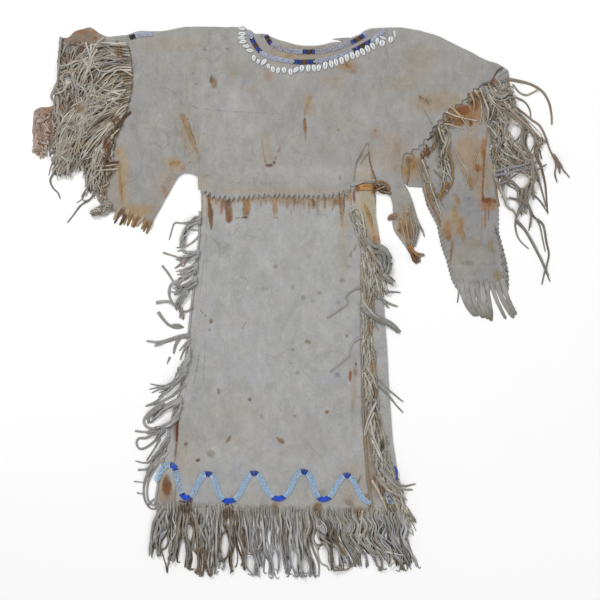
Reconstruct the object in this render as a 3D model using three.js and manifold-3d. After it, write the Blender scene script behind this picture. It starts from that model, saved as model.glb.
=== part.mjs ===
// A hide dress with beaded lanes, a row of shells and cut fringe, laid flat on its back.
// Millimetres. +X is the viewer's right, +Y runs from the hem to the neck and +Z is up from the surface.
// The origin is on the underside of the skirt, below the middle of the dress.
import * as THREE from "three";
import { mergeVertices } from "three/addons/utils/BufferGeometryUtils.js";
import Module from "manifold-3d";

const wasm = await Module();
wasm.setup();

// ---- Driving dimensions ----
const WALL = 2.0; // thickness of the hide
const GAP = 0.3; // kept between neighbouring pieces
const BACK_TOP = WALL; // upper face of the layer that lies on the surface
const FRONT_UNDER = BACK_TOP + GAP; // underside of the front layer
const SKIRT_TOP = FRONT_UNDER + WALL; // upper face of the skirt
const FLAP_UNDER = SKIRT_TOP + GAP; // underside of the yoke where it overlaps the skirt
const YOKE_GRID = 34; // spacing of the yoke's surface points
const WAIST_Y = 272.8; // where the skirt begins, under the yoke's flap
const HEM_Y = -459.8; // middle of the hem
const HEM_TILT = 10; // the hem drops this much more for every TILT_REACH to the right
const TILT_REACH = 250;
const TILT_START_Y = -350; // the tilt fades in from here down to the hem
const TOOTH_PITCH = 11; // pinked edges
const TOOTH_DEPTH = 8;
const LANE_WALL = 1.5; // thickness of a beaded lane
const HEM_LANE_WIDTH = 13;
const NECK_LANE_WIDTH = 8.4;
const SHELL = { long: 6.2, wide: 3.7, high: 3.0 }; // half sizes of one shell
const THONG = { width: 4.2, high: 1.4 }; // the strip that the shells are sewn on
const STRIP_WIDTH = 5; // the backing of a fringe
const STRIP_HIGH = 2.0;
const STRAND_HIGH = 1.7;
const ROOT_LIFT = 0.15; // a strand starts this far above its backing's underside

const HIDE = new THREE.Color(0.66, 0.64, 0.61);
const FRINGE = new THREE.Color(0.55, 0.53, 0.5);
const BEADS = new THREE.Color(0.45, 0.6, 0.8);
const SHELL_WHITE = new THREE.Color(0.87, 0.88, 0.87);

// ---- Tables ----
// A table is a list of rows under named columns.
const table = (columns, rows) => {
  const names = columns.split(" ");
  return rows.map((row) => Object.fromEntries(names.map((name, i) => [name, row[i]])));
};
const path = (rows) => table("x y", rows).map(({ x, y }) => new THREE.Vector2(x, y));

// Edges of the front of the yoke, named as they are seen.
const SHOULDER_LEFT = path([[-383, 588], [-356, 596], [-308, 596], [-255, 605], [-202, 605], [-128, 604]]);
const NECK_FRONT = path([[-114, 598], [-95, 591], [-70, 585], [-55, 579], [-29, 569], [-4, 564], [18, 563],
  [40, 565], [68, 571], [108, 578], [132, 592], [154, 600]]);
const SHOULDER_RIGHT = path([[180, 603], [220, 603], [260, 596], [299, 585], [334, 568], [370, 550],
  [405, 532], [431, 524], [453, 510]]);
const CUFF_RIGHT = path([[455, 498], [447, 484], [418, 481]]);
const DIAGONAL_RIGHT = path([[403, 480], [376, 466], [352, 440], [317, 418], [293, 389], [275, 359],
  [255, 339], [222, 321]]);
const SIDE_RIGHT = path([[219, 301], [222, 268], [233, 246], [244, 218], [257, 169], [251, 121]]);
const DROP_TIP = path([[251, 98], [257, 88], [240, 82], [230, 104], [227, 121]]);
const DROP_INNER = path([[209, 147], [200, 167], [200, 211], [194, 233], [183, 253], [163, 264], [139, 264]]);
const WAIST_EDGE = path([[114, 255], [95, 240], [46, 231], [-7, 231], [-59, 235], [-103, 231], [-154, 227],
  [-194, 231], [-227, 246]]);
const SLEEVE_LEFT_INNER = path([[-229, 279], [-251, 284], [-271, 277], [-290, 246], [-312, 207], [-334, 167]]);
const SLEEVE_LEFT_END = path([[-334, 167], [-350, 183], [-409, 200], [-436, 189], [-462, 197]]);
const CUFF_LEFT = path([[-462, 197], [-441, 218], [-439, 234], [-421, 273], [-409, 288], [-423, 317],
  [-419, 346], [-401, 376], [-385, 420], [-371, 464], [-374, 510], [-383, 588]]);

// Edges of the back of the yoke that differ from the front's.
const NECK_BACK = path([[-128, 604], [-95, 594], [-55, 583], [-4, 570], [18, 569], [50, 572], [80, 584],
  [108, 590], [132, 597], [154, 602]]);
const CUFF_EDGE_RIGHT = path([[455, 488], [447, 444], [431, 378], [422, 312], [427, 246], [433, 211]]);
const LEG_RIGHT_OUTER = path([[433, 154], [449, 95], [455, 60], [455, 29]]);
const LEG_RIGHT_END = path([[455, 29], [405, 31], [352, 30]]);
const LEG_RIGHT_INNER = path([[343, 25], [330, 46], [319, 88], [306, 125], [297, 169], [275, 211], [264, 252]]);
const BACK_WAIST = path([[235, 254], [225, 262], [163, WAIST_Y + GAP], [-226, WAIST_Y + GAP]]);
const BACK_SLEEVE_LEFT = path([[-229, 292], [-256, 296], [-276, 290], [-300, 254], [-322, 216], [-345, 196],
  [-405, 212], [-428, 214]]);
const BACK_LEFT_EDGE = path([[-446, 262], [-452, 292], [-480, 317], [-528, 334], [-561, 343], [-581, 330],
  [-592, 363], [-592, 411], [-585, 425], [-550, 431], [-524, 442], [-499, 462], [-495, 488], [-499, 519],
  [-510, 554], [-515, 583], [-493, 601], [-471, 605], [-440, 592], [-414, 585]]);

// The skirt: its left and right folds and the two seams that its front panel is sewn in by.
const SKIRT = table("y foldLeft seamLeft seamRight foldRight", [
  [WAIST_Y, -223, -213, 106, 163],
  [191, -222, -211, 112, 163],
  [136, -224, -213, 130, 172],
  [70, -231, -219, 130, 180],
  [4, -239, -227, 130, 180],
  [-51, -245, -234, 130, 184],
  [-106, -251, -240, 131, 188],
  [-172, -260, -249, 131, 191],
  [-216, -272, -262, 131, 194],
  [-249, -282, -271, 132, 196],
  [-304, -294, -273, 136, 200],
  [-359, -305, -276, 140, 209],
  [-392, -312, -277, 143, 213],
  [HEM_Y, -321, -279, 154, 224],
]);

// Soft rolls of the front: each runs from one end to the other, so high and so wide on either side.
const SKIRT_ROLLS = table("x1 y1 x2 y2 high wide", [
  [-150, 120, -175, -230, 2.6, 55],
  [-40, 90, -20, -230, 2.2, 60],
  [70, 120, 60, -230, 3.0, 52],
]);
const YOKE_ROLLS = table("x1 y1 x2 y2 high wide", [
  [-270, 545, -350, 260, 3.2, 60],
  [-190, 500, -250, 340, 2.8, 50],
  [-30, 420, -20, 330, 2.4, 60],
  [160, 450, 130, 340, 2.6, 50],
  [330, 520, 250, 400, 3.2, 50],
]);

// Middle lines of the beaded lanes.
const HEM_WAVE = path([[-321, -394], [-308, -368], [-295, -358], [-281, -362], [-275, -385], [-269, -413],
  [-256, -431], [-242, -425], [-229, -400], [-218, -382], [-207, -378], [-195, -384], [-187, -409],
  [-178, -430], [-161, -438], [-143, -430], [-128, -403], [-117, -382], [-106, -376], [-94, -383],
  [-82, -405], [-70, -424], [-51, -433], [-31, -421], [-20, -398], [-10, -379], [4, -373], [18, -383],
  [26, -407], [34, -426], [48, -435], [64, -425], [76, -403], [87, -387], [99, -381], [112, -391],
  [122, -412], [131, -430]]);
const NECK_OUTER = path([[-114, 590], [-103, 568], [-90, 549], [-76, 539], [-52, 533], [-29, 530], [2, 529],
  [31, 529], [55, 533], [81, 539], [106, 547], [132, 562], [156, 574], [167, 584]]);
const NECK_INNER = path([[-80, 580], [-69, 566], [-60, 559], [-46, 555], [-29, 551], [-11, 550], [15, 549],
  [35, 550], [55, 552], [81, 558], [99, 566], [118, 576], [135, 586]]);
const SHOULDER_LANE = path([[-377, 582], [-356, 589], [-328, 590]]);
const SHELL_ROW = path([[-132, 601], [-131, 589], [-127, 577], [-121, 564], [-113, 551], [-105, 538],
  [-96, 528], [-85, 520], [-75, 515], [-64, 511], [-53, 509], [-40, 508], [-27, 506], [-13, 511], [1, 513],
  [16, 513], [33, 514], [48, 516], [62, 519], [76, 522], [90, 527], [104, 533], [117, 541], [129, 548],
  [142, 554], [155, 560], [168, 568], [178, 577], [190, 583], [201, 590]]);

// Where the strands of each fringe end.
const TIPS_SLEEVE_LEFT = path([[-519, 572], [-537, 532], [-543, 488], [-550, 444], [-568, 383], [-570, 330],
  [-554, 273], [-532, 229], [-506, 192], [-480, 190], [-458, 190]].reverse());
const TIPS_SLEEVE_RIGHT = path([[550, 392], [570, 334], [583, 295], [568, 246], [552, 191], [548, 125],
  [543, 42], [524, 75], [504, 114], [482, 147], [456, 176]]);
const TIPS_SIDE_LEFT = path([[-295, 158], [-306, 103], [-312, 37], [-317, -7], [-318, -51], [-337, -86],
  [-339, -139], [-341, -183], [-352, -231], [-365, -282], [-367, -348], [-370, -392], [-368, -425],
  [-356, -448]]);
const TIPS_SIDE_RIGHT = path([[184, 147], [198, 88], [213, 26], [211, -22], [217, -62], [213, -110],
  [222, -161], [222, -216], [226, -282], [232, -337], [242, -387], [253, -409], [246, -440]]);
const TIPS_HEM = path([[-334, -550], [-312, -572], [-279, -590], [-246, -601], [-136, -605], [-4, -605],
  [95, -592], [161, -590], [216, -590], [251, -581]]);
const TIPS_LEG_RIGHT = path([[473, -30], [440, -37], [405, -38], [378, -30], [352, -8]]);
const TIPS_LEG_LEFT = path([[-343, 152], [-366, 166], [-400, 172], [-424, 174]]);

// ---- Geometry helpers ----
const smooth = (low, high, value) => THREE.MathUtils.smoothstep(value, low, high);

const toSolid = (geometry) => {
  const bare = geometry.clone();
  bare.deleteAttribute("normal");
  bare.deleteAttribute("uv");
  const merged = mergeVertices(bare);
  const vertProperties = new Float32Array(merged.getAttribute("position").array);
  const triVerts = new Uint32Array(merged.getIndex().array);
  return new wasm.Manifold(new wasm.Mesh({ numProp: 3, vertProperties, triVerts }));
};

const toGeometry = (solid) => {
  const mesh = solid.getMesh();
  const geometry = new THREE.BufferGeometry();
  geometry.setAttribute("position", new THREE.BufferAttribute(new Float32Array(mesh.vertProperties), 3));
  geometry.setIndex(new THREE.BufferAttribute(new Uint32Array(mesh.triVerts), 1));
  return geometry;
};

const indexed = (points, triangles) => {
  const geometry = new THREE.BufferGeometry();
  geometry.setAttribute("position", new THREE.Float32BufferAttribute(points.flat(), 3));
  geometry.setIndex(triangles.flat());
  return geometry;
};

// A solid through rings of equal length. Each ring runs from left to right along the underside, and the rings
// follow each other towards the hem.
const loft = (rings) => {
  const size = rings[0].length;
  const triangles = [];
  for (let r = 0; r + 1 < rings.length; r += 1) {
    for (let i = 0; i < size; i += 1) {
      const a = r * size + i;
      const b = r * size + ((i + 1) % size);
      triangles.push([a, b, b + size], [a, b + size, a + size]);
    }
  }
  const flat = rings[0].map(([x, , z]) => new THREE.Vector2(x, z));
  const cap = THREE.ShapeUtils.triangulateShape(flat, []);
  const last = (rings.length - 1) * size;
  for (const [a, b, c] of cap) {
    triangles.push([c, b, a], [a + last, b + last, c + last]);
  }
  return indexed(rings.flat(), triangles);
};

// A solid along a path with the same small section at each station, given as [across, up] pairs.
const sweep = (stations) => {
  const size = stations[0].section.length;
  const points = [];
  const triangles = [];
  for (const { x, y, z, nx, ny, section } of stations) {
    for (const [across, up] of section) {
      points.push([x + nx * across, y + ny * across, z + up]);
    }
  }
  for (let s = 0; s + 1 < stations.length; s += 1) {
    for (let i = 0; i < size; i += 1) {
      const a = s * size + i;
      const b = s * size + ((i + 1) % size);
      triangles.push([a, b + size, a + size], [a, b, b + size]);
    }
  }
  const last = (stations.length - 1) * size;
  for (let i = 1; i + 1 < size; i += 1) {
    triangles.push([0, i + 1, i], [last, last + i, last + i + 1]);
  }
  return indexed(points, triangles);
};

// A sheet between two surfaces over a rectangle of points.
const slab = (columns, rows, place) => {
  const points = [];
  for (let r = 0; r <= rows; r += 1) {
    for (let c = 0; c <= columns; c += 1) {
      const { x, y, under } = place(c / columns, r / rows);
      points.push([x, y, under], [x, y, under + WALL]);
    }
  }
  const at = (c, r, top) => 2 * (r * (columns + 1) + c) + top;
  const triangles = [];
  for (let r = 0; r < rows; r += 1) {
    for (let c = 0; c < columns; c += 1) {
      triangles.push([at(c, r, 1), at(c + 1, r, 1), at(c + 1, r + 1, 1)]);
      triangles.push([at(c, r, 1), at(c + 1, r + 1, 1), at(c, r + 1, 1)]);
      triangles.push([at(c, r, 0), at(c + 1, r + 1, 0), at(c + 1, r, 0)]);
      triangles.push([at(c, r, 0), at(c, r + 1, 0), at(c + 1, r + 1, 0)]);
    }
  }
  const wall = (c1, r1, c2, r2) => {
    triangles.push([at(c1, r1, 0), at(c2, r2, 0), at(c2, r2, 1)]);
    triangles.push([at(c1, r1, 0), at(c2, r2, 1), at(c1, r1, 1)]);
  };
  for (let c = 0; c < columns; c += 1) {
    wall(c, 0, c + 1, 0);
    wall(c + 1, rows, c, rows);
  }
  for (let r = 0; r < rows; r += 1) {
    wall(columns, r, columns, r + 1);
    wall(0, r + 1, 0, r);
  }
  return indexed(points, triangles);
};

// An outline pulled up into a prism from one level to another.
const prism = (outline, low, high) => {
  const geometry = new THREE.ExtrudeGeometry(new THREE.Shape(outline), {
    depth: high - low,
    bevelEnabled: false,
  });
  geometry.translate(0, 0, low);
  return geometry;
};

const lengths = (points) => {
  const sums = [0];
  for (let i = 1; i < points.length; i += 1) {
    sums.push(sums[i - 1] + points[i].distanceTo(points[i - 1]));
  }
  return sums;
};

// The point at a share of a path's length, and the path's left-hand normal there.
const along = (points, share) => {
  const sums = lengths(points);
  const goal = share * sums[sums.length - 1];
  let i = 1;
  while (i < points.length - 1 && sums[i] < goal) {
    i += 1;
  }
  const t = (goal - sums[i - 1]) / (sums[i] - sums[i - 1]);
  const point = points[i - 1].clone().lerp(points[i], t);
  const step = points[i].clone().sub(points[i - 1]).normalize();
  return { point, normal: new THREE.Vector2(-step.y, step.x) };
};

// A path moved sideways, to its left where the distance is positive.
const offset = (points, distance) =>
  points.map((point, i) => {
    const before = points[Math.max(i - 1, 0)];
    const after = points[Math.min(i + 1, points.length - 1)];
    const a = (i > 0 ? point.clone().sub(before) : after.clone().sub(point)).normalize();
    const b = (i < points.length - 1 ? after.clone().sub(point) : point.clone().sub(before)).normalize();
    const miter = new THREE.Vector2(-a.y - b.y, a.x + b.x).multiplyScalar(distance / (1 + a.dot(b)));
    return point.clone().add(miter);
  });

// A toothed edge along a path: every other point steps out to the path's right.
const pinked = (points) => {
  const teeth = Math.round(lengths(points).pop() / TOOTH_PITCH);
  const edge = [];
  for (let i = 0; i <= 2 * teeth; i += 1) {
    const { point, normal } = along(points, i / (2 * teeth));
    const reach = i % 2 === 1 ? -TOOTH_DEPTH / 2 : TOOTH_DEPTH / 2;
    edge.push(point.addScaledVector(normal, reach * (i === 0 || i === 2 * teeth ? 0 : 1)));
  }
  return edge;
};

const distanceTo = (x, y, x1, y1, x2, y2) => {
  const span = (x2 - x1) ** 2 + (y2 - y1) ** 2;
  const t = THREE.MathUtils.clamp(((x - x1) * (x2 - x1) + (y - y1) * (y2 - y1)) / span, 0, 1);
  return Math.hypot(x - x1 - t * (x2 - x1), y - y1 - t * (y2 - y1));
};

const rollHeight = (rolls, x, y) => {
  let height = 0;
  for (const { x1, y1, x2, y2, high, wide } of rolls) {
    const share = Math.min(distanceTo(x, y, x1, y1, x2, y2) / wide, 1);
    height = Math.max(height, high * Math.cos((share * Math.PI) / 2) ** 2);
  }
  return height;
};

const inside = (outline, x, y) => {
  let odd = false;
  for (let i = 0, j = outline.length - 1; i < outline.length; j = i, i += 1) {
    const a = outline[i];
    const b = outline[j];
    if (a.y > y !== b.y > y && x < ((b.x - a.x) * (y - a.y)) / (b.y - a.y) + a.x) {
      odd = !odd;
    }
  }
  return odd;
};

const group = new THREE.Group();
const add = (name, geometry, color, roughness = 0.9) => {
  const material = new THREE.MeshStandardMaterial({ color, roughness, metalness: 0 });
  const mesh = new THREE.Mesh(geometry, material);
  mesh.name = name;
  group.add(mesh);
};

// ---- The yoke ----
const FRONT_OUTLINE = [
  ...SHOULDER_LEFT, ...NECK_FRONT, ...SHOULDER_RIGHT, ...CUFF_RIGHT, ...pinked(DIAGONAL_RIGHT), ...SIDE_RIGHT,
  ...DROP_TIP, ...DROP_INNER, ...pinked(WAIST_EDGE), ...SLEEVE_LEFT_INNER, ...SLEEVE_LEFT_END.slice(1, -1),
  ...CUFF_LEFT.slice(0, -1),
];
const BACK_OUTLINE = [
  ...SHOULDER_LEFT, ...NECK_BACK.slice(1), ...SHOULDER_RIGHT, ...CUFF_EDGE_RIGHT, ...LEG_RIGHT_OUTER,
  ...LEG_RIGHT_END.slice(1), ...LEG_RIGHT_INNER, ...BACK_WAIST, ...BACK_SLEEVE_LEFT, ...BACK_LEFT_EDGE,
];

// The front lies on the back, climbs over the top of the skirt and comes down to the surface at the drop.
const frontUnder = (x, y) => {
  const overSkirt = (1 - smooth(280, 300, y)) * (1 - smooth(168, 196, x)) * smooth(-262, -236, x);
  const dropped = (1 - smooth(190, 225, y)) * smooth(184, 196, x);
  return FRONT_UNDER + overSkirt * (FLAP_UNDER - FRONT_UNDER) - dropped * FRONT_UNDER;
};

const yokeFront = () => {
  const box = new THREE.Box2().setFromPoints(FRONT_OUTLINE).expandByScalar(1);
  const size = box.getSize(new THREE.Vector2());
  const columns = Math.ceil(size.x / YOKE_GRID);
  const rows = Math.ceil(size.y / YOKE_GRID);
  const sheet = slab(columns, rows, (u, v) => {
    const x = box.min.x + u * size.x;
    const y = box.min.y + v * size.y;
    return { x, y, under: frontUnder(x, y) + rollHeight(YOKE_ROLLS, x, y) };
  });
  return toGeometry(toSolid(sheet).intersect(toSolid(prism(FRONT_OUTLINE, -20, 40))));
};

add("yoke_back", toGeometry(toSolid(prism(BACK_OUTLINE, 0, BACK_TOP))), HIDE);
add("yoke_front", yokeFront(), HIDE);

// ---- The skirt: a tube lying flat, whose back wraps round both folds to the seams of the front ----
const foldRightAt = (y) => {
  let i = 1;
  while (i < SKIRT.length - 1 && SKIRT[i].y > y) {
    i += 1;
  }
  const t = (SKIRT[i - 1].y - y) / (SKIRT[i - 1].y - SKIRT[i].y);
  return THREE.MathUtils.lerp(SKIRT[i - 1].foldRight, SKIRT[i].foldRight, t);
};
// The hem runs a little downhill to the right.
const tilted = (x, y) => y - HEM_TILT * (x / TILT_REACH) * smooth(HEM_Y, TILT_START_Y, HEM_Y + TILT_START_Y - y);

// Half of the back's section, from the seam round the fold to the underside and back inside: [inward, up].
const FOLD_OUTER = [[1.2, SKIRT_TOP], [0.3, 3.6], [0, 2.15], [0.3, 0.7], [1.2, 0]];
const FOLD_INNER = [[2.5, BACK_TOP], [2.3, 2.15], [2.5, FRONT_UNDER]];

const skirtBack = () => {
  const rings = SKIRT.map(({ y, foldLeft, seamLeft, seamRight, foldRight }) => {
    const left = FOLD_OUTER.map(([inward, up]) => [foldLeft + inward, up]);
    const right = FOLD_OUTER.map(([inward, up]) => [foldRight - inward, up]).reverse();
    const insideRight = FOLD_INNER.map(([inward, up]) => [foldRight - inward, up]).reverse();
    const insideLeft = FOLD_INNER.map(([inward, up]) => [foldLeft + inward, up]);
    const section = [
      [seamLeft, SKIRT_TOP], ...left, ...right, [seamRight, SKIRT_TOP],
      [seamRight, FRONT_UNDER], ...insideRight, ...insideLeft, [seamLeft, FRONT_UNDER],
    ];
    return section.map(([x, z]) => [x, tilted(x, y), z]);
  });
  return loft(rings);
};

// The front panel has a row of points at each row of the table, so that its sides keep to the seams.
const FRONT_COLUMNS = 11;
const skirtFront = () =>
  slab(FRONT_COLUMNS, SKIRT.length - 1, (u, v) => {
    const { y, seamLeft, seamRight } = SKIRT[Math.round((1 - v) * (SKIRT.length - 1))];
    const x = THREE.MathUtils.lerp(seamLeft + GAP, seamRight - GAP, u);
    return { x, y: tilted(x, y), under: FRONT_UNDER + rollHeight(SKIRT_ROLLS, x, y) };
  });

add("skirt_back", skirtBack(), HIDE);
add("skirt_front", skirtFront(), HIDE);

// ---- Beaded lanes: flat bands on the hide ----
const band = (points, width, under, high, count) => {
  const curve = new THREE.SplineCurve(points);
  const stations = [];
  for (let i = 0; i <= count; i += 1) {
    const point = curve.getPoint(i / count);
    const step = curve.getTangent(i / count);
    const half = width / 2;
    const section = [[-half, 0], [half, 0], [half, high], [-half, high]];
    stations.push({ x: point.x, y: point.y, z: under, nx: -step.y, ny: step.x, section });
  }
  return sweep(stations);
};

add("hem_lane", band(HEM_WAVE, HEM_LANE_WIDTH, SKIRT_TOP + GAP, LANE_WALL, 64), BEADS, 0.4);
add("neck_lane_outer", band(NECK_OUTER, NECK_LANE_WIDTH, SKIRT_TOP + GAP, LANE_WALL, 22), BEADS, 0.4);
add("neck_lane_inner", band(NECK_INNER, NECK_LANE_WIDTH, SKIRT_TOP + GAP, LANE_WALL, 20), BEADS, 0.4);
add("shoulder_lane", band(SHOULDER_LANE, NECK_LANE_WIDTH, SKIRT_TOP + GAP, LANE_WALL, 4), BEADS, 0.4);

// ---- The shells, sewn side by side across a narrow thong ----
const shellRow = () => {
  const base = SKIRT_TOP + GAP;
  let row = toSolid(band(SHELL_ROW, THONG.width, base, THONG.high, 29));
  const curve = new THREE.SplineCurve(SHELL_ROW);
  SHELL_ROW.forEach((center, i) => {
    const step = curve.getTangent(i / (SHELL_ROW.length - 1));
    const shell = new THREE.SphereGeometry(1, 6, 3);
    shell.rotateX(Math.PI / 2);
    shell.scale(SHELL.wide, SHELL.long, SHELL.high);
    shell.rotateZ(Math.atan2(step.y, step.x));
    shell.translate(center.x, center.y, base + SHELL.high);
    row = row.add(toSolid(shell));
  });
  return toGeometry(row);
};

add("shell_row", shellRow(), SHELL_WHITE, 0.35);

// ---- Fringe ----
const FREE = GAP; // strands lie this far above the surface
const overBack = (x, y) => {
  const margin = 4;
  const spots = [[0, 0], [margin, 0], [-margin, 0], [0, margin], [0, -margin]];
  return spots.some(([dx, dy]) => inside(BACK_OUTLINE, x + dx, y + dy));
};
const onBack = (x, y) => (overBack(x, y) ? FRONT_UNDER : FREE);

// One strand: a thong with three faces that bends to one side and thins to its tip.
const strand = ({ root, tip, wide, bend, steps, restAt, rootZ }) => {
  const stations = [];
  const span = tip.clone().sub(root);
  const side = new THREE.Vector2(-span.y, span.x).normalize();
  const place = (t) => {
    const bow = bend * span.length() * Math.sin(Math.PI * t);
    return root.clone().addScaledVector(span, t).addScaledVector(side, bow);
  };
  for (let i = 0; i <= steps; i += 1) {
    const t = i / steps;
    const point = place(t);
    const ahead = place(t + 0.01).sub(place(t - 0.01)).normalize();
    const near = [-1, -0.66, -0.33, 0, 0.33, 0.66, 1].map((k) => place(Math.max(t + k / steps, 0)));
    const rest = Math.max(...near.map(({ x, y }) => restAt(x, y)));
    const half = (wide / 2) * (1 - 0.4 * t);
    const high = STRAND_HIGH * (1 - 0.35 * t);
    stations.push({
      x: point.x,
      y: point.y,
      z: i === 0 ? Math.max(rest, rootZ) + ROOT_LIFT : rest,
      nx: -ahead.y,
      ny: ahead.x,
      section: [[-half, 0], [half, 0], [0, high]],
    });
  }
  return toSolid(sweep(stations));
};

// A fringe: a narrow backing along an edge and strands that spread from it to the tips.
const fringe = ({ edge, side, tips, count, wide, steps, bend, lift, restAt, uneven = 0.1, spread = [0, 1] }) => {
  const middle = offset(edge, side * (GAP + STRIP_WIDTH / 2));
  const half = STRIP_WIDTH / 2;
  const section = [[-half, 0], [half, 0], [half, STRIP_HIGH], [-half, STRIP_HIGH]];
  const outer = offset(middle, 1);
  const stations = middle.map((point, i) => {
    const across = outer[i].clone().sub(point);
    return { x: point.x, y: point.y, z: lift, nx: across.x, ny: across.y, section };
  });
  let solid = toSolid(sweep(stations));
  for (let i = 0; i < count; i += 1) {
    const share = THREE.MathUtils.lerp(spread[0], spread[1], (i + 0.5) / count);
    const root = along(middle, share).point;
    const end = along(tips, (i + 0.5) / count).point;
    const short = 1 - (uneven * ((i * 5) % 7)) / 6;
    const tip = root.clone().lerp(end, short);
    const rest = { root, tip, wide, bend, steps, restAt, rootZ: lift };
    solid = solid.add(strand(rest));
  }
  return toGeometry(solid);
};

const seamEdge = (name, from, to) =>
  SKIRT.filter(({ y }) => y <= from && y >= to).map((row) => new THREE.Vector2(row[name], tilted(row[name], row.y)));
const hemEdge = (from, to) => {
  const edge = [];
  for (let i = 0; i <= 6; i += 1) {
    const x = THREE.MathUtils.lerp(from, to, i / 6);
    edge.push(new THREE.Vector2(x, tilted(x, HEM_Y)));
  }
  return edge;
};
const HEM_STRANDS = 64;
const hemShare = (first) => {
  const step = 1 / HEM_STRANDS;
  return [first * step, 1 - (1 - first) * step];
};
const hemTips = (first) => {
  const [low, high] = hemShare(first);
  const tips = [];
  for (let i = 0; i <= 24; i += 1) {
    tips.push(along(TIPS_HEM, THREE.MathUtils.lerp(low, high, i / 24)).point);
  }
  return tips;
};
const beyondHem = (x, y) => (y > tilted(x, HEM_Y) - STRIP_WIDTH - 3 ? FRONT_UNDER : FREE);
const onFloor = () => FREE;
const overFold = (x, y) => (x < foldRightAt(y) + 3 ? FLAP_UNDER : FREE);

add("fringe_sleeve_left", fringe({
  edge: CUFF_LEFT.slice(1, -1), side: 1, tips: TIPS_SLEEVE_LEFT, count: 36, wide: 4.4, steps: 4, bend: -0.05,
  lift: FRONT_UNDER, restAt: onBack,
}), FRINGE);
add("fringe_sleeve_right", fringe({
  edge: CUFF_EDGE_RIGHT, side: 1, tips: TIPS_SLEEVE_RIGHT, count: 32, wide: 4.4, steps: 4, bend: 0.07,
  lift: FREE, restAt: onFloor,
}), FRINGE);
add("fringe_side_left", fringe({
  edge: seamEdge("foldLeft", 200, HEM_Y + 1), side: -1, tips: TIPS_SIDE_LEFT, count: 28, wide: 4, steps: 3,
  bend: 0.05, lift: FREE, restAt: onFloor,
}), FRINGE);
add("fringe_side_right", fringe({
  edge: seamEdge("seamRight", 200, HEM_Y + 1), side: 1, tips: TIPS_SIDE_RIGHT, count: 28, wide: 4, steps: 3,
  bend: -0.03, lift: FLAP_UNDER, restAt: overFold,
}), FRINGE);
add("fringe_hem_back", fringe({
  edge: hemEdge(-318, 221), side: -1, tips: hemTips(0), count: HEM_STRANDS / 2, wide: 4.2, steps: 2,
  bend: 0.02, lift: FREE, restAt: onFloor, uneven: 0.05, spread: hemShare(0),
}), FRINGE);
add("fringe_hem_front", fringe({
  edge: hemEdge(-318, 221), side: -1, tips: hemTips(1), count: HEM_STRANDS / 2, wide: 4.2, steps: 3,
  bend: 0.02, lift: FRONT_UNDER, restAt: beyondHem, uneven: 0.05, spread: hemShare(1),
}), FRINGE);
add("fringe_leg_right", fringe({
  edge: LEG_RIGHT_END, side: 1, tips: TIPS_LEG_RIGHT, count: 9, wide: 9, steps: 2, bend: -0.02, lift: FREE,
  restAt: onFloor, uneven: 0.15,
}), FRINGE);
add("fringe_leg_left", fringe({
  edge: SLEEVE_LEFT_END.slice(0, 3), side: 1, tips: TIPS_LEG_LEFT, count: 10, wide: 5, steps: 2, bend: 0.02,
  lift: FRONT_UNDER, restAt: onBack, uneven: 0.15,
}), FRINGE);

export default group;
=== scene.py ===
"""A hide dress with beaded lanes, cowrie shells and cut fringe, laid flat on its back."""
import math

import bpy
import numpy as np
from mathutils.geometry import delaunay_2d_cdt
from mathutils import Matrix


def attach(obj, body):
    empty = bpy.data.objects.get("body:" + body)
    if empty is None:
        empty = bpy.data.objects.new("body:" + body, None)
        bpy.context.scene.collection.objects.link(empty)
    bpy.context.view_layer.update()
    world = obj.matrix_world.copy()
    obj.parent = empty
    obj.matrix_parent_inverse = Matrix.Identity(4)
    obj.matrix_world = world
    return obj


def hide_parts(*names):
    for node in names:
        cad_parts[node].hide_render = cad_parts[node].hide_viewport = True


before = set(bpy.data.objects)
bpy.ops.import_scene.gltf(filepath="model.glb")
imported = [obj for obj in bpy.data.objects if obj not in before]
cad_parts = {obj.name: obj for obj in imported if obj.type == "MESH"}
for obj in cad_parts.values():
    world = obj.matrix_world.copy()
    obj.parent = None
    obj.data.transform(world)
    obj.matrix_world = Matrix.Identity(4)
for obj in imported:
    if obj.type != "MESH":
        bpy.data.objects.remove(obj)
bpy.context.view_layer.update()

MM = 0.001

# ---- Sizes in millimetres, the same as in part.mjs ----
WALL = 2.0
GAP = 0.3
BACK_TOP = WALL
FRONT_UNDER = BACK_TOP + GAP
SKIRT_TOP = FRONT_UNDER + WALL
FLAP_UNDER = SKIRT_TOP + GAP
WAIST_Y = 272.8
HEM_Y = -459.8
HEM_TILT = 10
TILT_REACH = 250
TILT_START_Y = -350
TOOTH_PITCH = 11
TOOTH_DEPTH = 8

# ---- Sizes that only the scene has ----
# Teeth of the finer pinked edges: depth, pitch
FINE_TEETH = (6.5, 17)
LEG_TEETH_OUTER = (2.4, 9.6)
LEG_TEETH_INNER = (2.0, 9.6)
# How far a cut edge is rounded, and the distance between points of an underside
EDGE_ROUND = 0.35
UNDERSIDE_SPACING = 14
# The bands that strands are cut from: width, distance from the seam, and where the side ones start
BACKING = 5
SEAM_INSET = 2.8
SEAM_TOP = 200

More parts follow.
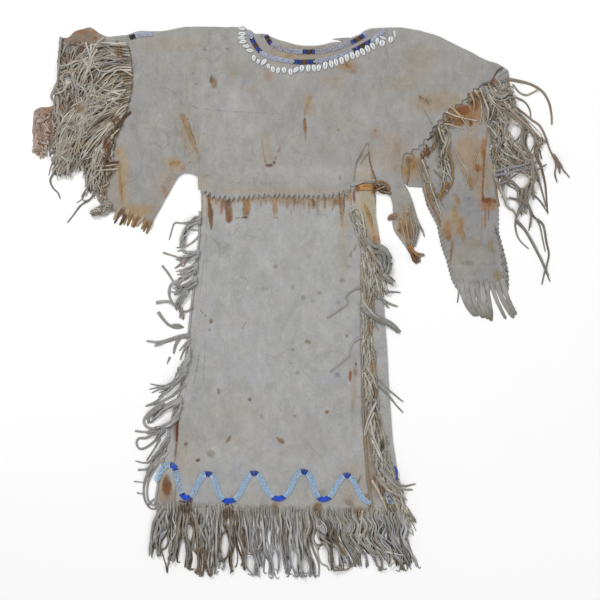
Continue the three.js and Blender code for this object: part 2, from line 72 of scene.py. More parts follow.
SHOULDER_LEFT = [(-383, 588), (-356, 596), (-308, 596), (-255, 605), (-202, 605), (-128, 604)]
SHOULDER_RIGHT = [
    (180, 603), (220, 603), (260, 596), (299, 585), (334, 568), (370, 550), (405, 532), (431, 524),
    (453, 510)]
CUFF_RIGHT = [(455, 498), (447, 484), (418, 481)]
DIAGONAL_RIGHT = [
    (403, 480), (376, 466), (352, 440), (317, 418), (293, 389), (275, 359), (255, 339), (222, 321)]
SIDE_RIGHT = [(219, 301), (222, 268), (233, 246), (244, 218), (257, 169), (251, 121)]
DROP_INNER = [(209, 147), (200, 167), (200, 211), (194, 233), (183, 253), (163, 264), (139, 264)]
WAIST_EDGE = [
    (114, 255), (95, 240), (46, 231), (-7, 231), (-59, 235), (-103, 231), (-154, 227), (-194, 231),
    (-227, 246)]
SLEEVE_LEFT_INNER = [(-229, 279), (-251, 284), (-271, 277), (-290, 246), (-312, 207), (-334, 167)]
SLEEVE_LEFT_END = [(-334, 167), (-350, 183), (-409, 200), (-436, 189), (-462, 197)]
CUFF_LEFT = [
    (-462, 197), (-441, 218), (-439, 234), (-421, 273), (-409, 288), (-423, 317), (-419, 346), (-401, 376),
    (-385, 420), (-371, 464), (-374, 510), (-383, 588)]
CUFF_EDGE_RIGHT = [(455, 488), (447, 444), (431, 378), (422, 312), (427, 246), (433, 211)]
LEG_RIGHT_OUTER = [(433, 154), (449, 95), (455, 60), (455, 29)]
LEG_RIGHT_END = [(455, 29), (405, 31), (352, 30)]
LEG_RIGHT_INNER = [(343, 25), (330, 46), (319, 88), (306, 125), (297, 169), (275, 211), (264, 252)]
BACK_WAIST = [(235, 254), (225, 262), (163, WAIST_Y + GAP), (-226, WAIST_Y + GAP)]
BACK_SLEEVE_LEFT = [
    (-229, 292), (-256, 296), (-276, 290), (-300, 254), (-322, 216), (-345, 196), (-405, 212), (-428, 214)]
BACK_LEFT_EDGE = [
    (-446, 262), (-452, 292), (-480, 317), (-528, 334), (-561, 343), (-581, 330), (-592, 363), (-592, 411),
    (-585, 425), (-550, 431), (-524, 442), (-499, 462), (-495, 488), (-499, 519), (-522, 544), (-530, 562),
    (-531, 580), (-516, 582), (-508, 588), (-501, 595), (-488, 600), (-471, 604), (-458, 600), (-444, 590),
    (-430, 585), (-414, 585)]

# y, left fold, left seam, right seam, right fold
SKIRT = [
    (WAIST_Y, -223, -213, 106, 163), (191, -222, -211, 112, 163), (136, -224, -213, 130, 172),
    (70, -231, -219, 130, 180), (4, -239, -227, 130, 180), (-51, -245, -234, 130, 184),
    (-106, -251, -240, 131, 188), (-172, -260, -249, 131, 191), (-216, -272, -262, 131, 194),
    (-249, -282, -271, 132, 196), (-304, -294, -273, 136, 200), (-359, -305, -276, 140, 209),
    (-392, -312, -277, 143, 213), (HEM_Y, -321, -279, 154, 224)]

# x1, y1, x2, y2, height, half width
SKIRT_ROLLS = [(-150, 120, -175, -230, 2.6, 55), (-40, 90, -20, -230, 2.2, 60), (70, 120, 60, -230, 3, 52)]
YOKE_ROLLS = [
    (-270, 545, -350, 260, 3.2, 60), (-190, 500, -250, 340, 2.8, 50), (-30, 420, -20, 330, 2.4, 60),
    (160, 450, 130, 340, 2.6, 50), (330, 520, 250, 400, 3.2, 50)]

HEM_WAVE = [
    (-321, -394), (-308, -368), (-295, -358), (-281, -362), (-275, -385), (-269, -413), (-256, -431),
    (-242, -425), (-229, -400), (-218, -382), (-207, -378), (-195, -384), (-187, -409), (-178, -430),
    (-161, -438), (-143, -430), (-128, -403), (-117, -382), (-106, -376), (-94, -383), (-82, -405),
    (-70, -424), (-51, -433), (-31, -421), (-20, -398), (-10, -379), (4, -373), (18, -383), (26, -407),
    (34, -426), (48, -435), (64, -425), (76, -403), (87, -387), (99, -381), (112, -391), (122, -412),
    (131, -430), (141, -438), (152, -443)]
NECK_OUTER_GRID = [
    (250, 31.2), (250.8, 36), (253.5, 42), (257.5, 48.3), (262.2, 53.4), (269.7, 57), (279.2, 59.6),
    (294, 61.8), (304, 62.1), (315.5, 61.6), (330, 58.8), (342, 55.6), (352.3, 51.2), (362, 46.3),
    (371.8, 40.8), (378, 35.6), (384.2, 29.8)]
NECK_INNER_GRID = [
    (266, 35.4), (268.2, 39.8), (271.4, 44.2), (276, 46.8), (285, 49.8), (292, 51.2), (302, 52), (315, 51.8),
    (328, 50.4), (340, 47.2), (350, 43.4), (358, 39.2), (364.2, 35.4), (366.4, 32.8)]
SHOULDER_LANE = [(-379, 581), (-356, 588), (-328, 590)]
# Shells: u, v, half length, half width, direction of the long axis in degrees
SHELLS = [
    (242.3, 27.9, 3.4, 2.6, 0), (242.1, 34, 3.7, 1.9, -5), (241.7, 38.1, 3.7, 1.9, 0),
    (242.9, 42, 3.7, 1.9, 8), (246.2, 46.3, 3.6, 1.8, -5), (249.9, 50.6, 3.6, 1.8, -10),
    (254, 58.3, 3.2, 1.9, 92), (258.2, 61.6, 2.4, 1.7, 80), (263.8, 62.2, 3.8, 2, 48),
    (268.4, 66.5, 2.6, 1.7, 110), (272.9, 69.6, 3.1, 2.1, 105), (278.2, 70.4, 3, 2, 80),
    (284.2, 70.2, 3, 2.3, 110), (290.5, 72, 3.2, 2.2, 95), (296, 70, 3.6, 2.1, 45),
    (301.8, 68.6, 3.4, 2.3, 82), (308.3, 68.4, 3.6, 2.3, 85), (314, 68.2, 3.6, 2.2, 100),
    (318.8, 68, 3.5, 2.2, 80), (325.3, 65.7, 3.8, 2.4, 88), (331.3, 64.2, 3.8, 2.2, 100),
    (336.2, 62.6, 3.8, 2.1, 105), (341.6, 60.6, 3.8, 2.3, 100), (346.9, 58, 3.8, 2.2, 95),
    (352.4, 55.8, 3.8, 2.3, 105), (357.4, 54.2, 3.8, 2.2, 95), (362.6, 52, 4, 2.2, 120),
    (367.6, 48.9, 4, 2.2, 118), (372.8, 46.3, 4, 2.2, 120), (377.2, 41.5, 3.5, 1.7, 85),
    (382.1, 43.4, 3.2, 2.9, 90), (382.9, 38, 3.3, 1.2, -25), (390.6, 39.9, 3.2, 2.4, 75),
    (394.6, 34.3, 3.8, 1.1, 100)]

# Places drawn one by one are given on a drafting grid that is counted from its top left corner.
GRID = 2.2
GRID_MIDDLE = 302


def at(u, v):
    return ((u - GRID_MIDDLE) * GRID, (GRID_MIDDLE - v) * GRID)


def in_mm(path):
    return [at(u, v) for u, v in path]


NECK_OUTER = in_mm(NECK_OUTER_GRID)
NECK_INNER = in_mm(NECK_INNER_GRID)


# ---- Camera, floor and light ----
CAMERA_PLACE = (-0.0044, 0.0044, 3.12)
CAMERA_LENS = 85


def linked(name, data):
    """A new object in the scene."""
    made = bpy.data.objects.new(name, data)
    bpy.context.scene.collection.objects.link(made)
    return made


def make_camera():
    data = bpy.data.cameras.new("camera")
    data.lens = CAMERA_LENS
    data.sensor_width = 36
    camera = linked("camera", data)
    camera.location = CAMERA_PLACE
    bpy.context.scene.camera = camera


def area_light(name, place, size, power):
    """A round lamp that faces the middle of the dress."""
    data = bpy.data.lights.new(name, "AREA")
    data.shape = "DISK"
    data.size = size
    data.energy = power
    light = linked(name, data)
    light.location = place
    light.rotation_euler = (-light.location.normalized()).to_track_quat("-Z", "Y").to_euler()


make_camera()
area_light("key", (-1.5, 2.3, 2.6), 1.1, 62)
area_light("fill", (2.2, -1.4, 3.0), 2.4, 26)

world = bpy.data.worlds.new("studio")
world.use_nodes = True
backdrop = world.node_tree.nodes["Background"].inputs
backdrop["Color"].default_value = (1, 1, 1, 1)
backdrop["Strength"].default_value = 0.62
bpy.context.scene.world = world
bpy.context.scene.view_settings.view_transform = "Standard"


# ---- Helpers for arrays of points ----
def hashed(i, j, seed):
    value = np.sin(i * 127.1 + j * 311.7 + seed * 74.7) * 43758.5453
    return 2 * (value - np.floor(value)) - 1


def value_noise(x, y, scale, seed):
    """Smooth noise from -1 to 1, with features about scale apart."""
    u = np.asarray(x, float) / scale + seed * 17.3
    v = np.asarray(y, float) / scale + seed * 7.7
    i, j = np.floor(u), np.floor(v)
    fu, fv = u - i, v - j
    fu, fv = fu * fu * (3 - 2 * fu), fv * fv * (3 - 2 * fv)
    low = hashed(i, j, seed) * (1 - fu) + hashed(i + 1, j, seed) * fu
    high = hashed(i, j + 1, seed) * (1 - fu) + hashed(i + 1, j + 1, seed) * fu
    return low * (1 - fv) + high * fv


def cloudy(x, y, scale, seed):
    """Three layers of value_noise, each twice as fine as the last."""
    total = 0
    for k in range(3):
        total = total + value_noise(x, y, scale / 2**k, seed + 3 * k) / 2**k
    return total / 1.75


def wander(along, scale, seed):
    """Noise along a line."""
    return cloudy(along, np.zeros(len(along)), scale, seed)


def wavering(rng, steps):
    """Noise along a strand, of its own each time."""
    return value_noise(steps, np.zeros(len(steps)), 1, rng.uniform(0, 99))


def tube(index):
    """Triangles round a closed tube; index holds the points' numbers, with a row for each ring."""
    a, b = index[:-1], np.roll(index, -1, axis=1)[:-1]
    d, c = index[1:], np.roll(index, -1, axis=1)[1:]
    return np.concatenate([np.stack([a, b, c], -1).reshape(-1, 3), np.stack([a, c, d], -1).reshape(-1, 3)])


def smooth(low, high, value):
    t = np.clip((np.asarray(value, float) - low) / (high - low), 0, 1)
    return t * t * (3 - 2 * t)


def lengths(points):
    steps = np.hypot(*np.diff(points, axis=0).T)
    return np.concatenate([[0], np.cumsum(steps)])


def resample(points, count):
    points = np.asarray(points, float)
    sums = lengths(points)
    goals = np.linspace(0, sums[-1], count)
    return np.stack([np.interp(goals, sums, points[:, k]) for k in range(points.shape[1])], axis=1)


def spline(points, step=3.0):
    """A smooth curve through the points, with a point every step."""
    points = np.asarray(points, float)
    if len(points) < 3:
        return resample(points, max(2, int(lengths(points)[-1] / step)))
    before = np.vstack([2 * points[0] - points[1], points[:-1]])
    after = np.vstack([points[1:], 2 * points[-1] - points[-2]])
    tangents = (after - before) / 2
    t = np.linspace(0, 1, 9)[:-1, None]
    pieces = []
    for i in range(len(points) - 1):
        a, b = points[i], points[i + 1]
        ta, tb = tangents[i], tangents[i + 1]
        pieces.append((2 * t**3 - 3 * t**2 + 1) * a + (t**3 - 2 * t**2 + t) * ta
                      + (3 * t**2 - 2 * t**3) * b + (t**3 - t**2) * tb)
    curve = np.vstack(pieces + [points[-1:]])
    return resample(curve, max(2, int(lengths(curve)[-1] / step) + 1))


def normals(points):
    steps = np.gradient(points, axis=0)
    steps /= np.maximum(np.hypot(steps[:, 0], steps[:, 1]), 1e-9)[:, None]
    return np.stack([-steps[:, 1], steps[:, 0]], axis=1)


def distance_to_segment(x, y, x1, y1, x2, y2):
    """Distance from points to a segment, and the share of the segment that is nearest."""
    span = max((x2 - x1) ** 2 + (y2 - y1) ** 2, 1e-9)
    t = np.clip(((x - x1) * (x2 - x1) + (y - y1) * (y2 - y1)) / span, 0, 1)
    return np.hypot(x - x1 - t * (x2 - x1), y - y1 - t * (y2 - y1)), t


def distance_to_path(x, y, points):
    """Distance from points to a polyline, and the share of its length that is nearest."""
    points = np.asarray(points, float)
    sums = lengths(points)
    best = np.full(np.shape(x), 1e9)
    share = np.zeros(np.shape(x))
    for i in range(len(points) - 1):
        d, t = distance_to_segment(x, y, *points[i], *points[i + 1])
        nearer = d < best
        best = np.where(nearer, d, best)
        share = np.where(nearer, (sums[i] + t * (sums[i + 1] - sums[i])) / sums[-1], share)
    return best, share


def inside(outline, x, y):
    odd = np.zeros(np.shape(x), bool)
    outline = np.asarray(outline, float)
    for a, b in zip(outline, np.roll(outline, 1, axis=0)):
        if a[1] == b[1]:
            continue
        crossing = (a[1] > y) != (b[1] > y)
        odd ^= crossing & (x < (b[0] - a[0]) * (y - a[1]) / (b[1] - a[1]) + a[0])
    return odd


# ---- Materials ----
class Nodes:
    """Builds a material's node tree."""

    def __init__(self, name):
        self.material = bpy.data.materials.new(name)
        self.material.use_nodes = True
        self.tree = self.material.node_tree
        self.shader = self.tree.nodes["Principled BSDF"]

    def fill(self, node, **inputs):
        for key, value in inputs.items():
            self.feed(node.inputs[key.replace("_", " ")], value)
        return node

    def new(self, kind, **inputs):
        return self.fill(self.tree.nodes.new(kind), **inputs)

    def feed(self, socket, value):
        if isinstance(value, bpy.types.NodeSocket):
            self.tree.links.new(value, socket)
        else:
            socket.default_value = value

    def attribute(self, name):
        node = self.tree.nodes.new("ShaderNodeAttribute")
        node.attribute_name = name
        return node

    def noise(self, scale, detail=4.0, rough=0.55):
        if not hasattr(self, "place"):
            place = self.tree.nodes.new("ShaderNodeTexCoord").outputs["Object"]
            stretched = self.new("ShaderNodeMapping", Vector=place, Scale=(1.2, 0.8, 1))
            self.place = stretched.outputs["Vector"]
        node = self.new("ShaderNodeTexNoise", Vector=self.place, Scale=scale, Detail=detail, Roughness=rough)
        return node.outputs["Fac"]

    def span(self, value, low, high, to_low, to_high):
        node = self.tree.nodes.new("ShaderNodeMapRange")
        for socket, given in zip(node.inputs, (value, low, high, to_low, to_high)):
            self.feed(socket, given)
        return node.outputs["Result"]

    def blotches(self, scale, detail, rough, low, high, to_low, to_high):
        """Noise whose range from low to high is led to another range."""
        return self.span(self.noise(scale, detail, rough), low, high, to_low, to_high)

    def math(self, operation, a, b):
        node = self.tree.nodes.new("ShaderNodeMath")
        node.operation = operation
        self.feed(node.inputs[0], a)
        self.feed(node.inputs[1], b)
        return node.outputs["Value"]

    def times(self, a, b):
        return self.math("MULTIPLY", a, b)

    def mix(self, factor, a, b, blend="MIX"):
        node = self.tree.nodes.new("ShaderNodeMix")
        node.data_type = "RGBA"
        node.blend_type = blend
        self.feed(node.inputs[0], factor)
        self.feed(node.inputs[6], a)
        self.feed(node.inputs[7], b)
        return node.outputs[2]

    def tinted(self, color, value):
        return self.mix(1.0, color, value, "MULTIPLY")

    def bump(self, height, strength, distance, **under):
        node = self.new("ShaderNodeBump", Strength=strength, Distance=distance, Height=height, **under)
        return node.outputs["Normal"]


WARM_CAST = (1.08, 1.0, 0.88, 1)
COOL_CAST = (0.97, 0.98, 1.08, 1)


def hide_material(name, grain=1.0):
    """Suede: a tint with clouds, hairlines, and warm and cool casts. The marks turn into ragged patches:
    stains, and painted shade along creases and folds.
    """
    n = Nodes(name)
    tint = n.attribute("tint").outputs["Color"]
    mark = n.attribute("mark").outputs
    broad = n.blotches(24, 7, 0.7, 0.3, 0.7, 0.87, 1.11)
    patches = n.blotches(75, 3, 0.5, 0.3, 0.7, 1 - 0.055 * grain, 1 + 0.055 * grain)
    fine = n.blotches(230, 6, 0.75, 0.25, 0.75, 1 - 0.15 * grain, 1 + 0.12 * grain)
    light = n.times(n.times(broad, patches), fine)
    for size, width, where, depth in ((9, 0.014, 7, 0.15), (21, 0.016, 12, 0.12)):
        line = n.math("ABSOLUTE", n.math("SUBTRACT", n.noise(size, 4, 0.45), 0.5), 0)
        line = n.span(line, 0, width, depth, 0)
        shown = n.times(line, n.blotches(where, 2, 0.5, 0.46, 0.6, 0, 1))
        light = n.times(light, n.math("SUBTRACT", 1, shown))
    base = n.tinted(tint, light)
    warm = n.blotches(34, 6, 0.65, 0.46, 0.72, 0.0, 0.5)
    base = n.mix(n.times(warm, grain), base, n.tinted(base, WARM_CAST))
    cool = n.blotches(19, 5, 0.6, 0.5, 0.75, 0.0, 0.7)
    base = n.mix(cool, base, n.tinted(base, COOL_CAST))
    ragged = n.blotches(140, 7, 0.75, 0.2, 0.8, -0.42, 0.42)
    fade = n.math("MINIMUM", n.times(mark["Alpha"], 3.0), 1.0)
    shown = n.span(n.math("ADD", mark["Alpha"], n.times(ragged, fade)), 0.12, 0.92, 0.0, 0.92)
    # The marks' colour: stains, and painted shade along creases and folds
    stain = n.tinted(mark["Color"], n.blotches(95, 6, 0.7, 0.3, 0.7, 0.42, 0.98))
    n.fill(n.shader, Base_Color=n.mix(shown, base, stain),
           Roughness=n.blotches(60, 3, 0.55, 0.3, 0.7, 0.78, 0.95),
           Specular_IOR_Level=0.25, Sheen_Weight=0.12, Sheen_Roughness=0.6)
    soft = n.bump(n.noise(90, 4), 0.5, 0.0009)
    n.fill(n.shader, Normal=n.bump(n.noise(620, 6, 0.7), 0.5, 0.0004, Normal=soft))
    return n.material


def polished_material(name, grain, shades, polish, roughness, coat, coat_roughness):
    """Glass or shell: each pair is of a noise's scale and detail, or of the values it runs between."""
    n = Nodes(name)
    tint = n.attribute("tint").outputs["Color"]
    n.fill(n.shader, Base_Color=n.tinted(tint, n.blotches(*grain, 0.55, 0.3, 0.7, *shades)),
           Roughness=n.blotches(*polish, 0.55, 0.3, 0.7, *roughness),
           Coat_Weight=coat, Coat_Roughness=coat_roughness)
    return n


def shell_material():
    n = polished_material("cowrie", (260, 4), (0.9, 1.06), (200, 3), (0.22, 0.42), 0.25, 0.2)
    n.fill(n.shader, Normal=n.bump(n.noise(900, 3), 0.2, 0.0002))
    return n.material


def floor_material():
    n = Nodes("paper")
    n.fill(n.shader, Roughness=0.9,
           Base_Color=n.mix(n.noise(3, 2), (0.975, 0.975, 0.975, 1), (0.99, 0.99, 0.99, 1)))
    return n.material


HIDE = hide_material("hide")
THONG = hide_material("thong", 1.3)
GLASS = polished_material("bead_glass", (700, 2), (0.86, 1.12), (350, 2), (0.16, 0.34), 0.3, 0.15).material
SHELL = shell_material()


def linear(color):
    """A screen colour from 0 to 255 as the shader's linear colour."""
    c = np.asarray(color, float) / 255
    return np.where(c <= 0.04045, c / 12.92, ((c + 0.055) / 1.055) ** 2.4)


def make_piece(name, points, triangles, material, tint, mark=None, nodes=()):
    mesh = bpy.data.meshes.new(name)
    mesh.from_pydata((np.asarray(points) * MM).tolist(), [], np.asarray(triangles).tolist())
    mesh.validate()
    mesh.polygons.foreach_set("use_smooth", np.ones(len(mesh.polygons), bool))
    colors = {"tint": np.hstack([tint, np.ones((len(tint), 1))])}
    if mark is not None:
        colors["mark"] = mark
    for label, values in colors.items():
        attribute = mesh.attributes.new(label, "FLOAT_COLOR", "POINT")
        attribute.data.foreach_set("color", np.asarray(values, np.float32).ravel())
    mesh.materials.append(material)
    piece = linked(name, mesh)
    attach(piece, "root")
    if nodes:
        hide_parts(*nodes)
    return piece


FLOOR_REACH = 8
floor_mesh = bpy.data.meshes.new("floor")
corners = [(a * FLOOR_REACH, b * FLOOR_REACH, 0) for a, b in ((-1, -1), (1, -1), (1, 1), (-1, 1))]
floor_mesh.from_pydata(corners, [], [(0, 1, 2, 3)])
floor_mesh.materials.append(floor_material())
floor = linked("floor", floor_mesh)

# ---- Colours of the hide ----
SKIRT_TONE = (163, 163, 162)
YOKE_TONE = (152, 151, 148)
SLEEVE_TONE = (149, 148, 145)
LEG_TONE = (142, 141, 140)


def toned(count, color):
    return np.tile(linear(color), (count, 1))


# Broad soft tints: u, v, radius across, radius down, turn in degrees, colour, strength
SOFT_TINTS_YOKE = [
    (296, 54, 44, 12, 0, (154, 136, 112), 0.6),
    (309, 104, 6, 14, 10, (156, 138, 116), 0.7),
    (265, 148, 6, 16, 0, (158, 146, 126), 0.6),
    (270, 162, 14, 10, 0, (146, 130, 112), 0.4),
    (190, 140, 12, 30, 16, (152, 138, 118), 0.6),
    (176, 164, 14, 8, -20, (158, 134, 102), 0.7),
    (269, 76, 7, 6, 0, (150, 122, 102), 0.6),
    (233, 75, 5, 5, 0, (146, 132, 114), 0.5),
    (253, 89, 5, 6, 0, (150, 134, 114), 0.5),
    (219, 138, 6, 5, 20, (144, 134, 120), 0.5),
    (348, 66, 12, 8, -10, (154, 124, 94), 0.7),
    (333, 82, 16, 10, 0, (150, 138, 122), 0.5),
    (420, 60, 26, 16, 20, (146, 134, 118), 0.5),
    (404, 84, 20, 10, 0, (148, 134, 114), 0.45),
    (424, 102, 18, 12, 0, (150, 132, 102), 0.5),
    (450, 104, 30, 14, -30, (150, 132, 104), 0.6),
    (367, 158, 10, 14, 0, (160, 146, 124), 0.6),
    (365, 176, 11, 10, 0, (160, 148, 130), 0.8),
    (376, 132, 6, 8, 0, (158, 136, 108), 0.5),
    (396, 150, 18, 26, 0, (152, 134, 110), 0.5),
    (404, 226, 14, 20, 0, (158, 138, 112), 0.75),
    (404, 196, 12, 16, 0, (148, 140, 130), 0.4),
    (116, 56, 12, 26, 0, (158, 138, 110), 0.6),
    (120, 90, 12, 20, 0, (156, 142, 118), 0.55),
    (170, 45, 36, 10, 0, (152, 144, 130), 0.5),
    (123, 176, 8, 34, 2, (164, 138, 100), 0.6),
    (110, 190, 10, 20, 0, (152, 138, 122), 0.4),
    (170, 190, 14, 24, 20, (158, 136, 118), 0.55),
    (134, 212, 24, 9, 10, (158, 128, 88), 0.75),
    (280, 190, 90, 5, 0, (158, 146, 130), 0.5),
    (200, 184, 10, 8, 0, (158, 144, 122), 0.5),
    (240, 70, 16, 10, 30, (150, 140, 126), 0.3),
    (230, 115, 30, 44, 0, (166, 166, 165), 0.5),
    (300, 172, 70, 14, 0, (168, 168, 168), 0.4),
    (370, 110, 24, 20, 0, (164, 163, 160), 0.4),
    (340, 130, 24, 44, 0, (154, 150, 144), 0.3),
]
SOFT_TINTS_SKIRT = [
    (203, 205, 5, 20, 0, (172, 146, 112), 0.9),
    (216, 200, 12, 12, 0, (164, 144, 120), 0.6),
    # A brown band under the waist's teeth: stain, and painted shade under the teeth
    (280, 199, 90, 5, 0, (156, 134, 108), 0.55),
    (318, 203, 30, 8, 0, (160, 146, 128), 0.55),
    (344, 222, 6, 14, 0, (166, 150, 126), 0.6),
    (352, 196, 5, 12, 0, (160, 120, 82), 0.7),
    (220, 248, 14, 12, 0, (148, 148, 148), 0.5),
    (300, 500, 110, 12, 0, (158, 153, 144), 0.5),
    (168, 488, 9, 20, 0, (164, 130, 96), 0.8),
    (186, 508, 12, 6, 0, (90, 74, 58), 0.75),
    (228, 511, 12, 6, 0, (128, 102, 76), 0.7),
    (278, 506, 6, 6, 0, (140, 124, 100), 0.6),
    (318, 506, 6, 6, 0, (140, 120, 94), 0.6),
    (348, 500, 8, 6, 0, (138, 124, 112), 0.6),
    (322, 492, 5, 4, 0, (132, 118, 96), 0.5),
    (358, 512, 10, 7, 0, (146, 116, 84), 0.6),
    (185, 450, 22, 30, 0, (160, 152, 140), 0.5),
    (250, 360, 50, 60, 0, (168, 168, 169), 0.5),
    (230, 420, 40, 40, 0, (160, 157, 150), 0.4),
    (300, 440, 50, 30, 0, (160, 158, 154), 0.4),
    (354, 388, 4, 44, 0, (156, 144, 124), 0.5),
    (344, 256, 8, 30, 0, (162, 154, 140), 0.5),
    (353, 478, 16, 26, 0, (162, 148, 130), 0.5),
]
SOFT_TINTS_BACK = [
    (70, 130, 50, 80, 0, (140, 118, 96), 0.5),
    (80, 36, 26, 12, 0, (128, 104, 86), 0.8),
    (44, 128, 12, 26, 0, (150, 116, 90), 0.85),
    (476, 110, 10, 20, 0, (152, 118, 84), 0.75),
    (458, 116, 20, 12, 0, (140, 92, 50), 0.85),
    (466, 150, 16, 24, 0, (158, 132, 104), 0.7),
    (480, 172, 12, 34, 0, (152, 130, 104), 0.7),
    (488, 205, 12, 8, 0, (146, 96, 54), 0.7),
    (452, 226, 16, 14, 0, (160, 134, 104), 0.6),
    (412, 168, 16, 16, 0, (150, 122, 86), 0.75),
    (470, 256, 26, 20, 0, (152, 146, 132), 0.5),
    (474, 290, 30, 16, 0, (160, 160, 160), 0.5),
]
SOFT_TINTS_SKIRT_BACK = [
    (366, 208, 14, 34, 0, (166, 154, 128), 0.9),
    (374, 240, 9, 14, 0, (168, 140, 112), 0.8),
    (368, 290, 10, 60, 0, (160, 146, 116), 0.8),
    (368, 380, 10, 60, 0, (156, 136, 102), 0.7),
    (372, 460, 14, 60, 0, (146, 124, 96), 0.7),
    (178, 426, 5, 20, 0, (120, 84, 56), 0.8),
    (162, 488, 10, 20, 0, (160, 130, 98), 0.6),
    (180, 500, 18, 14, 0, (120, 96, 72), 0.5),
]

# Sharper marks, in the same columns
MARKS_SKIRT = [
    (222, 208, 2.3, 8.5, -8, (160, 116, 90), 0.85),
    (229, 211, 4.2, 12.5, 3, (132, 88, 52), 0.97),
    (229.5, 205, 2, 5, 0, (138, 112, 84), 0.7),
    (228.5, 221, 3, 2.4, 0, (142, 84, 46), 0.8),
    (246.8, 206.5, 4, 11.5, -4, (170, 124, 70), 0.95),
    (244, 210, 2.2, 5.5, 0, (140, 110, 70), 0.6),
    (245.2, 217.6, 3.4, 1.3, 0, (104, 54, 28), 0.95),
    (275, 207, 2.9, 11.5, 2, (172, 140, 102), 0.85),
    (275.6, 217.4, 2.8, 0.7, 0, (124, 92, 62), 0.8),
    (287, 203, 2, 8, 0, (168, 144, 110), 0.7),
    (313, 203, 1.9, 3.6, 0, (164, 112, 60), 0.8),
    (211, 321, 2.6, 2.8, 0, (148, 112, 80), 0.85),
    (211.5, 321.5, 1, 1.2, 0, (110, 72, 50), 0.9),
    (209.6, 329.6, 1.8, 2, 0, (150, 118, 92), 0.7),
    (186, 444, 2.4, 2, 0, (112, 82, 56), 0.9),
    (198, 460, 2.6, 2, 20, (96, 72, 50), 0.95),
    (211, 454, 5, 4.5, 20, (140, 132, 112), 0.6),
    (219, 391.5, 1.8, 4.2, 8, (136, 122, 100), 0.65),
    (249.6, 399.4, 2.4, 1.9, 0, (112, 100, 86), 0.85),
    (228.4, 439.5, 1.9, 5, -38, (136, 108, 76), 0.85),
    (281, 441, 4, 2.6, -20, (130, 110, 86), 0.9),
    (278, 438.6, 2.6, 1.2, -40, (136, 116, 92), 0.8),
    (327, 411.8, 2.4, 2.2, 0, (146, 118, 84), 0.85),
    (327, 411.8, 1, 1, 0, (118, 80, 46), 0.9),
    (295, 416, 2.2, 1.6, 0, (136, 130, 112), 0.65),
    (262.6, 416, 3.4, 3.2, 0, (146, 143, 136), 0.5),
    (308, 342, 3.4, 2.3, -10, (138, 128, 108), 0.75),
    (292, 350, 3.6, 1.8, 0, (146, 143, 138), 0.6),
    (291, 363, 3.6, 0.9, 0, (146, 144, 140), 0.6),
    (297.7, 373, 2.8, 2, 0, (142, 140, 134), 0.6),
    (303, 297.5, 2.6, 2.4, 0, (132, 132, 130), 0.7),
    (293, 287, 2, 3.2, 10, (144, 144, 142), 0.6),
    (275.5, 266.7, 2.4, 2.8, 20, (142, 142, 140), 0.6),
    (265.4, 289, 4.4, 2.2, 0, (148, 147, 144), 0.6),
    (319, 292.6, 2.4, 2.2, 0, (148, 146, 142), 0.5),
    (313.4, 301, 3.6, 2.4, 0, (146, 146, 144), 0.55),
    (342, 280.6, 3, 2.4, 20, (138, 138, 134), 0.65),
    (337.5, 302.8, 2.8, 2.4, 0, (144, 144, 146), 0.5),
    (346.7, 336, 1.4, 1.8, 0, (120, 112, 102), 0.8),
    (337.5, 374.8, 3.4, 3, 0, (136, 136, 144), 0.65),
    (350.3, 376, 1.8, 7, -4, (150, 94, 52), 0.95),
    (355.5, 372, 2.6, 5, 0, (160, 126, 92), 0.65),
    (356, 364.7, 0.8, 2.6, 0, (72, 58, 50), 1),
    (352.4, 406, 1.4, 7, 0, (148, 144, 116), 0.6),
    (351, 254, 1.6, 4, 0, (138, 126, 108), 0.7),
    (355, 248, 1.2, 4, -20, (160, 130, 98), 0.7),
    (349, 267, 3, 3, 0, (150, 146, 132), 0.5),
    (184, 504, 7.5, 3.6, 8, (66, 46, 32), 0.95),
    (190, 501, 2.6, 3.6, -30, (96, 46, 24), 0.9),
    (180.5, 503, 2.6, 3.2, 10, (112, 66, 34), 0.8),
    (227.5, 509, 7, 6, 0, (110, 84, 58), 0.95),
    (224, 508, 2.6, 2.6, 0, (86, 60, 40), 0.7),
    (274, 508, 3.6, 6, 0, (140, 112, 80), 0.85),
    (317.5, 509, 5, 7, 0, (136, 108, 76), 0.85),
    (317, 493, 3.6, 2.4, 0, (126, 108, 82), 0.6),
    (350, 503, 5, 4, -30, (140, 122, 108), 0.6),
    (358, 482, 1.5, 9, -22, (110, 96, 86), 0.6),
]
